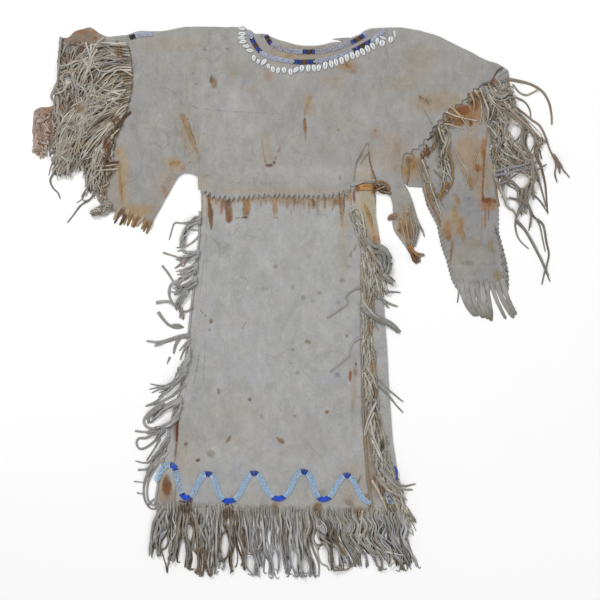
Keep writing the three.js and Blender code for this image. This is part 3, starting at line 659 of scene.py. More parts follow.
# Strokes: the path, its width at each end and in the middle, colour, strength
STROKES_SKIRT = [
    ([(208.5, 197), (210.5, 212), (211.5, 231)], 1.4, 6.2, 0.8, (134, 92, 52), 1),
    ([(209, 202), (210.6, 212), (211, 225)], 0.5, 2.8, 0.5, (92, 78, 46), 0.9),
    ([(339.6, 192), (340, 206), (341, 220)], 1.6, 1.6, 0.6, (142, 94, 50), 0.9),
    ([(344.4, 192), (344.2, 204), (343.6, 216)], 1.4, 1.4, 0.6, (112, 74, 42), 0.9),
    ([(341.8, 196), (342, 208), (342.2, 228)], 2, 3.4, 1, (160, 140, 104), 0.7),
    ([(353, 188), (354.5, 198), (356, 205)], 1.6, 1.8, 1, (104, 68, 40), 0.8),
    # The thin lines from here on lie mostly along creases; the grey ones are painted crease shade
    ([(235, 218), (243, 217.6), (250, 217)], 0.5, 0.6, 0.4, (120, 96, 76), 0.8),
    ([(268, 217.4), (278, 217.8)], 0.4, 0.5, 0.4, (140, 116, 92), 0.7),
    ([(344, 222.2), (350, 222), (355, 222.4)], 0.4, 0.6, 0.4, (112, 104, 94), 0.8),
    ([(247, 321), (244, 326), (241, 332)], 0.5, 0.9, 0.5, (134, 130, 124), 0.7),
    ([(265, 354), (272, 356), (280, 360)], 0.5, 0.9, 0.5, (142, 141, 140), 0.6),
    ([(206, 218), (206.4, 262), (206, 306)], 0.7, 1, 0.6, (138, 138, 138), 0.55),
    ([(205.4, 338), (204.4, 362), (202.5, 388)], 0.7, 1.1, 0.6, (134, 133, 132), 0.6),
    ([(199.7, 349), (197, 368), (193, 388)], 0.8, 1.3, 0.6, (126, 125, 124), 0.7),
    ([(198.5, 308), (202, 312), (205.6, 316)], 0.5, 1.2, 0.5, (112, 112, 112), 0.8),
    ([(204, 315), (205.8, 316.6)], 0.8, 1.1, 0.6, (86, 84, 80), 0.9),
    ([(201, 404), (198, 422), (192, 442)], 0.5, 0.9, 0.4, (144, 140, 134), 0.5),
    ([(186, 436), (185.6, 446), (186, 455)], 0.6, 1.3, 0.5, (132, 118, 96), 0.6),
    ([(206, 280), (230, 283), (256, 284)], 0.4, 0.8, 0.4, (150, 150, 150), 0.4),
]
WAIST_LINE = [(199, 191), (214, 198), (232, 200), (275, 197), (323, 198), (345, 194), (354, 187)]


def waist_stains_and_notch_shade():
    """Short brown runs under the teeth of the waist: stains, and painted shade under the notches between the
    teeth.
    """
    rng = np.random.default_rng(77)
    edge = np.array(WAIST_LINE)
    for u in np.arange(204, 353, 2.3):
        v = np.interp(u, edge[:, 0], edge[:, 1]) + rng.uniform(-3, 2)
        busy = u > 288
        long = rng.uniform(7, 19) if busy else rng.uniform(4, 11)
        color = [(144, 106, 62), (128, 90, 48), (156, 124, 84), (112, 82, 50)][rng.integers(4)]
        strength = rng.uniform(0.3, 0.8) * (1.0 if busy or u < 232 else 0.6)
        lean = rng.uniform(-1.2, 1.2)
        yield ([(u, v), (u + lean / 2, v + long / 2), (u + lean, v + long)], rng.uniform(1.6, 3.0),
               rng.uniform(1.5, 2.6), 0.8, color, strength)


STROKES_SKIRT += list(waist_stains_and_notch_shade())
MARKS_YOKE = [
    (211.5, 80, 1.9, 4.6, -4, (98, 84, 62), 0.9),
    (214.5, 83, 3.4, 6, 0, (142, 118, 84), 0.85),
    (305.2, 127, 2.2, 8, 3, (160, 118, 78), 0.9),
    (304.6, 121, 1, 4, 0, (122, 84, 54), 0.85),
    (305.6, 138, 1, 4, 0, (142, 108, 80), 0.7),
    (269, 165.4, 4.6, 2, 0, (112, 82, 64), 0.95),
    (274, 162.6, 2.2, 1.6, -40, (120, 84, 62), 0.9),
    (265.4, 161.4, 1.3, 2.2, 20, (150, 122, 96), 0.75),
    (279, 150, 2.4, 4, -24, (156, 132, 112), 0.6),
    (276, 158, 1.4, 3, -20, (150, 122, 98), 0.6),
    (175, 163.4, 6.5, 2.6, 10, (160, 128, 82), 0.8),
    (190, 162.6, 1.2, 1.2, 0, (116, 116, 80), 0.8),
    (183, 168, 3, 3, 0, (158, 138, 108), 0.6),
    (186.6, 148, 2, 2, 0, (156, 132, 96), 0.6),
    (204, 134, 0.9, 0.9, 0, (110, 106, 102), 0.8),
    (205, 49.7, 1.8, 1.6, 0, (120, 118, 114), 0.7),
    (227.5, 49, 1.8, 1.3, -20, (112, 110, 104), 0.75),
    (193, 73.6, 1.5, 1.3, 0, (124, 122, 118), 0.6),
    (196, 84, 1.5, 1.3, 0, (124, 122, 118), 0.6),
    (493.5, 81, 2.2, 3.4, -20, (150, 88, 44), 0.9),
    # A grey patch in the cuff's curl: painted fold shade
    (500, 70, 3.5, 3, 0, (120, 116, 106), 0.6),
    (410, 233, 6, 9, 10, (146, 112, 78), 0.75),
    (402, 228, 4, 7, -10, (150, 112, 74), 0.7),
    (412, 250, 5, 7, 10, (120, 86, 52), 0.95),
    (414, 259, 6, 5, 0, (110, 72, 36), 1),
    (348, 66, 3.8, 2.4, -20, (156, 106, 66), 0.7),
    (346, 63.6, 2, 1.6, 0, (132, 84, 50), 0.7),
    (354, 72, 3.4, 3, 0, (150, 118, 90), 0.5),
    (338, 130, 2.2, 1.8, 0, (158, 128, 92), 0.6),
    (375.6, 131, 1.6, 2.6, 20, (164, 124, 82), 0.7),
    (340, 178, 2, 2.4, 0, (164, 130, 94), 0.6),
    (207, 176, 2.2, 1.6, 0, (160, 134, 100), 0.6),
    (421, 98, 4.6, 1.6, -35, (130, 92, 52), 0.8),
    (425, 101, 7, 5, -10, (156, 130, 92), 0.6),
    (451, 108, 3, 2.4, -30, (112, 92, 60), 0.7),
    (398, 150, 4, 8, 0, (158, 140, 116), 0.5),
    (372, 176, 2, 6, 6, (176, 136, 98), 0.5),
    (118, 53, 3.4, 5.4, 10, (176, 124, 66), 0.85),
    (122, 52, 1.2, 1.8, 0, (96, 60, 30), 0.9),
    (119, 58, 2.4, 3, 0, (164, 118, 72), 0.7),
    (126, 80, 3.2, 4.2, 10, (172, 138, 86), 0.75),
    (129, 77, 1.2, 2.4, 0, (124, 92, 54), 0.7),
    (113, 119, 2.4, 2, 0, (196, 140, 70), 0.85),
    (116, 117.6, 2.6, 2.4, 0, (120, 84, 48), 0.8),
    (133.5, 43, 1.8, 1.2, 0, (176, 136, 84), 0.7),
    (118, 152, 2.6, 4, 0, (172, 134, 84), 0.7),
    (120.6, 186, 2, 18, 3, (168, 128, 76), 0.75),
    (119, 166, 3.6, 6, 0, (166, 136, 96), 0.6),
    (122, 194, 1, 9, 2, (142, 104, 60), 0.7),
    (168, 196, 4, 12, 28, (158, 128, 104), 0.6),
    (288, 56.4, 6.5, 1.9, 6, (176, 138, 92), 0.8),
    (300, 54.6, 4, 1.6, 0, (168, 140, 104), 0.6),
    (262, 36, 2, 3, 0, (150, 128, 104), 0.5),
    (394, 33.6, 2.4, 2.2, 0, (150, 120, 98), 0.7),
    (404.8, 220, 3, 4, 0, (186, 142, 100), 0.6),
    (399.4, 230, 1.2, 1.6, 0, (96, 66, 40), 0.9),
    (408, 214, 1.2, 3, -30, (130, 78, 50), 0.85),
    (408, 234, 2, 4, 10, (136, 98, 70), 0.7),
    (397, 240, 3, 4, -30, (176, 132, 88), 0.7),
]
STROKES_YOKE = [
    # The cuff's curl: a dark fold line and two lines beside it, painted fold shade
    ([(489, 83.6), (494, 77), (497, 72), (503, 67.4), (509, 66.6)], 1, 2, 0.8, (62, 54, 46), 1),
    ([(497, 79), (503, 74), (510, 70)], 0.8, 1.4, 0.6, (84, 76, 64), 0.8),
    ([(499, 82), (505, 80), (509, 76)], 0.8, 1.6, 0.8, (96, 88, 76), 0.8),
    ([(411, 212), (409, 226), (411, 240)], 0.8, 1.4, 0.8, (104, 86, 66), 0.8),
    ([(404, 206), (406, 222), (403, 236)], 0.6, 1.2, 0.6, (120, 96, 72), 0.7),
    ([(414, 218), (416, 230), (413, 244)], 0.6, 1.6, 0.8, (96, 80, 62), 0.8),
    ([(406, 240), (410, 250), (416, 258)], 0.8, 1.6, 1, (84, 56, 30), 0.9),
    ([(181, 112), (187, 128), (192, 142), (197.6, 154)], 5.6, 4.4, 1.4, (168, 138, 100), 0.85),
    # Lines from here to the end lie along creases and folds; the grey and grey-brown ones are painted crease
    # shade
    ([(187, 116), (191, 130), (195, 142), (198.4, 154)], 0.6, 1.3, 0.8, (122, 106, 88), 0.8),
    ([(186.4, 66), (186.4, 84), (187, 102)], 0.5, 0.9, 0.5, (138, 136, 134), 0.55),
    ([(197.8, 104), (198.6, 140), (199.6, 174)], 0.5, 1, 0.5, (136, 134, 132), 0.6),
    ([(190, 105), (197, 108.6), (199, 110.4)], 0.6, 1.5, 0.8, (120, 116, 110), 0.75),
    ([(199, 109), (240, 112), (272, 113.7), (330, 113.4)], 0.6, 1.1, 0.5, (144, 143, 141), 0.55),
    ([(215, 182.4), (260, 183.4), (310, 182)], 0.5, 1, 0.5, (146, 145, 143), 0.5),
    ([(150, 92), (164, 88), (176, 94), (184, 108)], 0.6, 1.6, 0.6, (140, 135, 126), 0.5),
    ([(311, 96), (307, 106), (303.6, 117)], 3.4, 3, 1.2, (158, 136, 108), 0.75),
    ([(262, 140), (263, 150), (265, 160)], 1.4, 1.6, 1, (156, 140, 112), 0.65),
    ([(367.8, 142), (362, 152), (356.6, 163), (354.6, 176), (354, 184)], 0.8, 1.6, 0.9, (112, 102, 88), 0.9),
    ([(368.4, 142), (369, 152), (370, 162), (373, 172), (377, 183)], 0.6, 1.7, 1.5, (100, 88, 72), 0.9),
    ([(369, 152), (365, 157), (360, 165)], 1, 2.4, 0.6, (132, 126, 114), 0.8),
    ([(364, 148), (362, 156), (358, 162)], 1, 3, 1, (140, 134, 122), 0.7),
    ([(371, 160), (371.5, 168), (373, 176)], 1, 2, 1, (150, 110, 72), 0.7),
    ([(424, 98), (428, 104), (431, 112)], 0.6, 1, 0.5, (110, 98, 80), 0.6),
    ([(421, 106), (427, 116), (433, 126)], 0.6, 1.1, 0.6, (118, 112, 100), 0.7),
]
MARKS_BACK = [
    (483.4, 150, 3, 12, 0, (170, 118, 66), 0.85),
    (478, 168, 4, 4.4, 0, (162, 106, 52), 0.9),
    (477.5, 170, 1.6, 2, 0, (126, 74, 34), 0.8),
    (468, 120, 3.4, 10, 10, (170, 134, 90), 0.7),
    (487.6, 200.6, 6.2, 3.2, 8, (126, 72, 32), 0.95),
    (490, 204, 2, 3.4, 0, (168, 110, 50), 0.9),
    (483, 198, 1.6, 3.2, 0, (98, 50, 24), 0.95),
    (495, 201, 1.6, 3, 0, (112, 66, 32), 0.9),
    (485.4, 216, 1.3, 14, 0, (160, 112, 66), 0.8),
    (488.6, 212, 1.1, 9, 0, (138, 88, 50), 0.75),
    (482, 222, 1.1, 10, 0, (164, 126, 80), 0.55),
    (446.6, 230, 4.4, 10, -8, (166, 126, 86), 0.75),
    (448.6, 237, 2.8, 4.6, 0, (150, 104, 58), 0.85),
    (451.4, 252, 1.9, 13, -6, (140, 106, 74), 0.75),
    (455, 214, 3.6, 11, 4, (172, 146, 100), 0.8),
    (460.6, 226, 3.6, 9, -8, (162, 128, 92), 0.75),
    (463.4, 236, 3, 5.4, 0, (160, 124, 82), 0.75),
    (469, 241, 6, 6, 0, (158, 146, 118), 0.55),
    (477, 244, 4, 5, 0, (158, 146, 114), 0.5),
    (457, 200, 3, 8, 20, (162, 122, 84), 0.7),
    (471, 182, 3.4, 8, 0, (162, 122, 84), 0.7),
    (490.6, 246, 3.2, 7.6, 0, (152, 138, 94), 0.8),
    (497, 275, 5.4, 7, 0, (152, 138, 102), 0.8),
    (468, 263, 7, 3, 0, (124, 122, 120), 0.5),
    (469.3, 198.6, 1, 1.8, 0, (88, 84, 86), 0.9),
    (475, 105, 4.6, 7, 10, (148, 98, 58), 0.92),
    (463, 110, 7.6, 5.4, 8, (140, 84, 42), 0.92),
    (459, 122, 6.4, 4.4, 10, (134, 94, 48), 0.9),
    (471, 122, 2, 4, 0, (110, 66, 32), 0.8),
    (450, 118, 4, 3, 0, (160, 140, 92), 0.7),
    (427, 152, 3, 6, 20, (158, 114, 80), 0.75),
    (411, 163, 4.4, 8, 24, (162, 122, 76), 0.9),
    (406, 172, 3.4, 3.4, 0, (178, 138, 72), 0.85),
    (424, 154, 3.6, 4, 0, (168, 108, 60), 0.85),
    (430, 200, 3, 8, -10, (160, 120, 84), 0.7),
    (432, 208, 1.6, 5, -20, (150, 92, 60), 0.75),
    (96, 31, 4, 2.4, 0, (168, 112, 84), 0.8),
    (78, 30, 12, 5, -8, (160, 112, 84), 0.6),
    (95, 38, 2, 2, 0, (150, 92, 54), 0.8),
    (62, 38, 3.4, 3.4, 0, (118, 92, 82), 0.8),
    (42, 118, 4, 6, 0, (150, 104, 76), 0.7),
    (38, 134, 3, 4, 0, (140, 106, 84), 0.6),
    (46, 112, 3, 3, 0, (176, 132, 106), 0.7),
    (44, 128, 2, 3, 0, (184, 146, 118), 0.6),
]
STROKES_BACK = [
    ([(485, 148), (484, 162), (483.4, 176), (482.6, 190), (483, 200)], 2.4, 2, 1.8, (140, 90, 50), 0.9),
    ([(489, 120), (487, 136), (486, 148)], 2, 2.8, 1.6, (168, 118, 70), 0.7),
    ([(36, 118), (43, 116), (50, 119)], 1, 1.5, 1, (186, 144, 118), 0.7),
    ([(36, 126), (42, 124), (49, 127)], 1, 1.4, 1, (120, 82, 62), 0.8),
    ([(37, 140), (43, 138), (49, 141)], 1, 1.6, 1, (124, 92, 74), 0.7),
    ([(446, 168), (450, 178), (449, 188)], 0.8, 1.5, 0.8, (130, 112, 84), 0.7),
]


def leg_slit_shade():
    """Slanted slits along both edges of the right leg, painted as dark lines: painted shade in cuts that the
    mesh does not have.
    """
    rng = np.random.default_rng(78)
    for edge, lean, reach, gap, color, strength in (
            (LEG_RIGHT_INNER, -1, 5.0, 4.3, (106, 100, 92), 0.65),
            (LEG_RIGHT_OUTER, 1, 9.6, 4.8, (92, 86, 78), 0.85)):
        path = resample(np.array(edge, float), 200)
        whole = lengths(path)[-1] / GRID
        for d in np.arange(0, whole, gap):
            x, y = path[min(199, int(200 * (d + rng.uniform(-0.6, 0.6)) / whole))]
            u, v = x / GRID + GRID_MIDDLE, GRID_MIDDLE - y / GRID
            long = reach * rng.uniform(0.75, 1.15)
            yield ([(u - lean * long * 0.72, v - long * 0.95), (u - lean * long * 0.4, v - long * 0.5),
                    (u + lean * 1.6, v + 0.8)], 1.0, rng.uniform(1.3, 1.6), 1.9, color,
                   strength * rng.uniform(0.75, 1.0))


STROKES_BACK += list(leg_slit_shade())
MARKS_SKIRT_BACK = [
    (167, 487, 5, 12, 0, (124, 84, 52), 1),
    (167, 490, 1.8, 4, 0, (140, 84, 44), 0.7),
    (366, 186.6, 11, 3, -2, (206, 152, 78), 1),
    (374.8, 188, 1.3, 5, 0, (120, 74, 34), 1),
    (372.4, 192, 1.6, 3.6, 0, (176, 118, 60), 0.9),
    (357.2, 188, 2.8, 4.4, 0, (146, 92, 42), 0.97),
    (354, 196, 1.6, 8, 4, (140, 88, 44), 0.9),
    (376, 240, 4, 6, 0, (172, 132, 100), 0.8),
    (372, 246, 4, 4, 0, (160, 120, 84), 0.7),
    (372, 362, 4, 6, 0, (182, 142, 84), 0.8),
    (371, 300, 3.2, 12, 0, (176, 142, 92), 0.7),
    (374, 394, 3, 9, 0, (140, 98, 56), 0.8),
    (378, 426, 2.2, 8, 0, (80, 64, 50), 0.8),
    (381.5, 446, 1.8, 3, 0, (60, 46, 36), 0.9),
    (365, 445, 2.8, 18, 0, (170, 124, 80), 0.85),
    (367, 484, 5, 14, 0, (146, 112, 80), 0.8),
    (382, 492, 2.4, 5.5, 0, (112, 66, 36), 0.9),
    (374.5, 482, 1.5, 8, 6, (108, 78, 52), 0.8),
    (390, 510, 6, 7, 0, (132, 104, 72), 0.7),
    (201, 206, 2.6, 14, 0, (176, 144, 104), 0.8),
]
STROKES_SKIRT_BACK = [
    ([(355, 184), (364, 183.4), (376, 183.6)], 0.6, 1.2, 0.8, (120, 76, 36), 1),
    ([(357, 190.4), (366, 190), (375, 190.4)], 0.6, 1.3, 0.8, (128, 80, 38), 1),
    ([(357, 187), (366, 186.6), (375, 186.8)], 0.4, 0.8, 0.5, (130, 84, 40), 0.8),
    ([(363, 202), (367, 212), (371, 224), (374.5, 234)], 1.4, 2.6, 1, (176, 132, 70), 0.9),
    ([(366, 204), (370, 214), (373.5, 226)], 0.8, 1.3, 0.6, (130, 94, 50), 0.8),
    ([(372, 186), (375, 196), (375.8, 206)], 1.2, 1.6, 0.8, (112, 74, 40), 0.9),
    ([(178.6, 406), (178, 420), (177, 434), (176.6, 443)], 1.4, 2.8, 1.8, (104, 54, 26), 1),
    ([(176.6, 442), (175.4, 454), (174.6, 464)], 2, 2.2, 1.2, (130, 96, 66), 0.85),
    ([(368, 318), (370, 340), (371, 356)], 1.2, 2.2, 1, (150, 104, 56), 0.75),
]


# What the marks' colour is where there is no mark
PLAIN_MARK = (150, 138, 120)


def ellipse_share(x, y, u, v, across, down, turn):
    """Distance from an ellipse's middle, with 1 at its edge."""
    cx, cy = at(u, v)
    c, s = math.cos(math.radians(turn)), math.sin(math.radians(turn))
    dx, dy = x - cx, y - cy
    return np.hypot((dx * c + dy * s) / (across * GRID), (-dx * s + dy * c) / (down * GRID))


def soft_tinted(colors, x, y, tints):
    wobble = 0.28 * cloudy(x, y, 34, 5)
    for u, v, across, down, turn, color, strength in tints:
        far = ellipse_share(x, y, u, v, across, down, turn) + wobble
        share = strength * (1 - smooth(0.35, 1.25, far))
        colors = colors * (1 - share[:, None]) + linear(color) * share[:, None]
    return colors


def marked(x, y, marks, strokes=()):
    """Colour and strength of the sharper marks; the strength falls through a half at a mark's edge."""
    out = np.zeros((len(x), 4))
    out[:, :3] = linear(PLAIN_MARK)
    wobble = 0.22 * cloudy(x, y, 9, 8)

    def lay(share, color):
        lit = share > 0.01
        keep = (1 - share[lit])[:, None]
        weight = np.maximum(out[lit, 3] * keep[:, 0] + share[lit], 1e-6)[:, None]
        out[lit, :3] = (out[lit, :3] * out[lit, 3:] * keep + linear(color) * share[lit][:, None]) / weight
        out[lit, 3] = np.maximum(out[lit, 3] * keep[:, 0] + share[lit], 0)

    for u, v, across, down, turn, color, strength in marks:
        far = ellipse_share(x, y, u, v, across, down, turn) + wobble
        lay(strength * (1 - smooth(0.5, 1.35, far)), color)
    for path, first, middle, last, color, strength in strokes:
        line = spline(in_mm(path), 6)
        d, share = distance_to_path(x, y, line)
        wide = np.interp(share, [0, 0.5, 1], [first, middle, last]) * GRID / 2
        ends = smooth(0, 0.06, share) * (1 - smooth(0.94, 1, share))
        lay(strength * (1 - smooth(0.6, 1.5, d / wide + 0.8 * wobble)) * np.maximum(ends, 0.15), color)
    return out


# ---- Sheets of hide ----
def wobbled(path, seed, reach=0.8):
    """A hand-cut edge: it wanders a little to either side."""
    path = np.asarray(path, float)
    sums = lengths(path)
    ease = np.minimum(1, np.minimum(sums, sums[-1] - sums) / 12)
    drift = reach * wander(sums, 16, seed) * ease
    return path + normals(path) * drift[:, None]


def pinked(points, seed, depth=TOOTH_DEPTH, pitch=TOOTH_PITCH):
    """A toothed edge along a path: every other point steps out to the path's right."""
    rng = np.random.default_rng(seed)
    curve = resample(points, 400)
    sums = lengths(curve)
    teeth = round(sums[-1] / pitch)
    places = np.linspace(0, 2 * teeth, 2 * teeth + 1)
    places[1:-1] += rng.uniform(-0.34, 0.34, len(places) - 2)
    goals = places / (2 * teeth) * sums[-1]
    sides = normals(curve)
    edge = []
    for k, goal in enumerate(goals):
        point = np.array([np.interp(goal, sums, curve[:, 0]), np.interp(goal, sums, curve[:, 1])])
        side = np.array([np.interp(goal, sums, sides[:, 0]), np.interp(goal, sums, sides[:, 1])])
        reach = (-depth / 2 if k % 2 else depth / 2) * rng.uniform(0.55, 1.3)
        edge.append(point + side * (reach if 0 < k < 2 * teeth else 0))
    return resample_between(edge)


def resample_between(points, step=2.6):
    """Adds points along each straight stretch, and keeps the corners."""
    out = []
    for a, b in zip(points[:-1], points[1:]):
        count = max(1, int(np.hypot(*(np.asarray(b) - a)) / step))
        for k in range(count):
            out.append(np.asarray(a) + (np.asarray(b) - a) * (k / count))
    out.append(np.asarray(points[-1]))
    return np.array(out)


def closed(*paths):
    """One outline from paths that follow each other, counterclockwise."""
    closest = 0.7
    points = []
    for point in np.vstack([np.asarray(path, float) for path in paths]):
        if not points or np.hypot(*(point - points[-1])) > closest:
            points.append(point)
    if np.hypot(*(points[0] - points[-1])) <= closest:
        points.pop()
    outline = np.array(points)
    area = np.sum(outline[:, 0] * np.roll(outline[:, 1], -1) - np.roll(outline[:, 0], -1) * outline[:, 1])
    return outline if area > 0 else outline[::-1]


def filled(outline, spacing, seed):
    """Triangles over an outline. The outline's points come first."""
    rng = np.random.default_rng(seed)
    low, high = outline.min(0), outline.max(0)
    xs = np.arange(low[0], high[0], spacing)
    ys = np.arange(low[1], high[1], spacing * 0.87)
    gx, gy = np.meshgrid(xs, ys)
    gx = gx + (np.arange(len(ys)) % 2)[:, None] * spacing / 2
    gx = (gx + rng.uniform(-0.12, 0.12, gx.shape) * spacing).ravel()
    gy = (gy + rng.uniform(-0.12, 0.12, gy.shape) * spacing).ravel()
    keep = inside(outline, gx, gy)
    gx, gy = gx[keep], gy[keep]
    near = set()
    for x, y in resample_between(np.vstack([outline, outline[:1]]), spacing / 2):
        i, j = int(x // spacing), int(y // spacing)
        near.update((i + a, j + b) for a in (-1, 0, 1) for b in (-1, 0, 1))
    free = np.ones(len(gx), bool)
    for k, (x, y) in enumerate(zip(gx, gy)):
        if (int(x // spacing), int(y // spacing)) in near:
            away = np.min(np.hypot(outline[:, 0] - x, outline[:, 1] - y))
            free[k] = away > spacing * 0.55
    points = np.vstack([outline, np.stack([gx[free], gy[free]], axis=1)])
    size = len(outline)
    edges = [(i, (i + 1) % size) for i in range(size)]
    result = delaunay_2d_cdt([tuple(p) for p in points], edges, [], 1, 1e-4, False)
    flat = np.array([tuple(p) for p in result[0]])
    triangles = np.array([f for f in result[2] if len(f) == 3])
    a, b, c = flat[triangles[:, 0]], flat[triangles[:, 1]], flat[triangles[:, 2]]
    turn = (b[:, 0] - a[:, 0]) * (c[:, 1] - a[:, 1]) - (b[:, 1] - a[:, 1]) * (c[:, 0] - a[:, 0])
    triangles[turn < 0] = triangles[turn < 0][:, ::-1]
    middle = (a + b + c) / 3
    triangles = triangles[inside(outline, middle[:, 0], middle[:, 1])]
    return flat, triangles


def border(triangles):
    """The directed edges that only one triangle has."""
    edges = dict.fromkeys(e for a, b, c in triangles for e in ((a, b), (b, c), (c, a)))
    return [(a, b) for a, b in edges if (b, a) not in edges]


def key(point):
    return round(point[0], 3), round(point[1], 3)


def outline_normals(outline):
    ahead = np.roll(outline, -1, axis=0) - np.roll(outline, 1, axis=0)
    ahead /= np.maximum(np.hypot(ahead[:, 0], ahead[:, 1]), 1e-9)[:, None]
    return {key(p): (t[1], -t[0]) for p, t in zip(outline, ahead)}


def hide_shell(outline, under, spacing, seed, relief):
    """A closed sheet: a fine upper face with relief, a coarser underside and a rounded edge."""
    top, top_faces = filled(outline, spacing, seed)
    low, low_faces = filled(outline, UNDERSIDE_SPACING, seed + 1)
    x, y = top[:, 0], top[:, 1]
    top_z = under(x, y) + WALL + relief(x, y)
    rim = border(top_faces)
    top_z[sorted(set(i for e in rim for i in e))] -= EDGE_ROUND
    low_z = under(low[:, 0], low[:, 1])
    points = np.vstack([np.column_stack([top, top_z]), np.column_stack([low, low_z])])
    faces = [top_faces, low_faces[:, ::-1] + len(top)]
    # The edge: a middle ring a little outside both faces' rings
    match = {key(p): i for i, p in enumerate(low)}
    ring, extra, walls = {}, [], []
    outward = outline_normals(outline)
    for a, b in rim:
        for i in (a, b):
            if i in ring:
                continue
            j = match.get(key(top[i]))
            if j is None:
                j = int(np.argmin(np.hypot(low[:, 0] - top[i][0], low[:, 1] - top[i][1])))
            nx, ny = outward.get(key(top[i]), (0, 0))
            ring[i] = (len(points) + len(extra), j + len(top))
            extra.append((top[i][0] + EDGE_ROUND * nx, top[i][1] + EDGE_ROUND * ny,
                          (top_z[i] + low_z[j]) / 2))
        (ma, la), (mb, lb) = ring[a], ring[b]
        walls += [(b, a, ma), (b, ma, mb), (mb, ma, la), (mb, la, lb)]
    return np.vstack([points, np.array(extra)]), np.vstack(faces + [np.array(walls)])


def roll_height(rolls, x, y):
    height = np.zeros(np.shape(x))
    for x1, y1, x2, y2, high, wide in rolls:
        d, _ = distance_to_segment(x, y, x1, y1, x2, y2)
        share = np.minimum(d / wide, 1)
        height = np.maximum(height, high * np.cos(share * math.pi / 2) ** 2)
    return height


def front_under(x, y):
    """The front lies on the back, climbs over the top of the skirt and comes down at the drop."""
    over_skirt = (1 - smooth(280, 300, y)) * (1 - smooth(168, 196, x)) * smooth(-262, -236, x)
    dropped = (1 - smooth(190, 225, y)) * smooth(184, 196, x)
    return FRONT_UNDER + over_skirt * (FLAP_UNDER - FRONT_UNDER) - dropped * FRONT_UNDER


def tilted(x, y):
    """The hem runs a little downhill to the right."""
    return y - HEM_TILT * (x / TILT_REACH) * smooth(HEM_Y, TILT_START_Y, HEM_Y + TILT_START_Y - y)


def creased(x, y, creases):
    """Soft troughs and ridges: points on the grid, height in mm (a trough is negative), half width in mm."""
    height = np.zeros(np.shape(x))
    for path, high, wide in creases:
        points = spline(in_mm(path), 12)
        d, share = distance_to_path(x, y, points)
        fade = smooth(0, 0.18, share) * (1 - smooth(0.82, 1, share))
        height += high * np.exp(-((d / wide) ** 2)) * fade
    return height


CREASES_SKIRT = [
    ([(207, 214), (206, 280), (206, 350), (201, 388)], -0.7, 3),
    ([(203, 300), (196, 350), (190, 386)], -0.6, 3.5),
    ([(198.5, 308), (205.6, 316)], -0.8, 2),
    ([(230, 222), (236, 300), (228, 400)], 0.6, 10),
    ([(262, 230), (268, 330), (262, 440)], -0.5, 9),
    ([(300, 230), (296, 300), (300, 380)], 0.5, 12),
    ([(330, 240), (322, 330), (326, 430)], -0.5, 8),
    ([(212, 300), (260, 292), (330, 300)], -0.35, 6),
    ([(210, 372), (270, 366), (352, 378)], -0.35, 6),
    ([(235, 218), (250, 218)], -0.7, 1.4),
    ([(345, 221.6), (354, 221.6)], -0.7, 1.4),
    ([(352, 240), (353, 330), (352, 430)], 0.8, 5),
]
CREASES_YOKE = [
    ([(488, 84), (494, 77), (498, 71), (505, 66)], -1.6, 3),
    ([(494, 84), (500, 77), (508, 72)], 3.4, 6),
    ([(408, 206), (406, 224), (409, 244)], 1.2, 3.5),
    ([(414, 212), (413, 228), (414, 246)], -1, 3),
    ([(398, 210), (400, 226), (405, 242)], -0.8, 3),
    ([(190, 105), (199, 110), (240, 112.6), (300, 113.6), (332, 113)], -0.5, 3),
    ([(182, 112), (190, 134), (198, 153)], -0.9, 4),
    ([(197.8, 104), (199, 174)], -0.4, 2.4),
    ([(368, 142), (357, 163), (354, 184)], -1, 3),
    ([(368, 142), (370, 162), (377, 183)], -0.9, 3),
    ([(421, 104), (433, 128)], -0.6, 3),
    ([(240, 74), (225, 110), (215, 150), (212, 185)], -0.7, 7),
    ([(200, 60), (186, 110), (168, 165)], 0.9, 10),
    ([(160, 60), (150, 110), (140, 170)], -0.8, 9),
    ([(132, 60), (136, 120), (128, 190)], 0.7, 8),
    ([(262, 84), (258, 120), (262, 175)], 0.5, 9),
    ([(310, 84), (306, 130), (308, 180)], -0.5, 8),
    ([(345, 76), (352, 120), (348, 170)], 0.6, 9),
    ([(374, 66), (388, 110), (380, 160)], -0.7, 9),
    ([(398, 50), (420, 90), (412, 130)], 0.8, 9),
    ([(440, 56), (448, 84), (436, 110)], -0.7, 8),
    ([(355, 170), (354.5, 184)], -1, 2),
    ([(470, 70), (478, 84), (466, 100)], 0.7, 7),
    ([(400, 112), (398, 150), (402, 200)], -0.6, 6),
    ([(180, 170), (160, 190), (150, 212)], 0.8, 8),
]


def skirt_relief(x, y):
    return (creased(x, y, CREASES_SKIRT) + 0.6 * cloudy(x, y, 46, 21) + 0.2 * cloudy(x, y, 12, 22))


def yoke_relief(x, y):
    return creased(x, y, CREASES_YOKE) + 0.65 * cloudy(x, y, 52, 31) + 0.22 * cloudy(x, y, 12, 32)


def back_relief(x, y):
    return np.minimum(0.0, 0.25 * cloudy(x, y, 40, 41) - 0.15)


# ---- The yoke ----
NECK_SEEN = [
    (247, 29.6), (250.5, 30.4), (254.5, 33.6), (260.3, 34), (266.6, 34.4), (271, 36.6), (276, 38.9),
    (287.6, 42.6), (298, 45.3), (308.7, 46), (319, 45.6), (327.6, 43.7), (333.9, 42.3), (341.3, 41.9),
    (345.5, 40), (350.8, 38.2), (359.2, 34.7), (364.4, 31), (370.7, 28.9), (378, 28.2)]
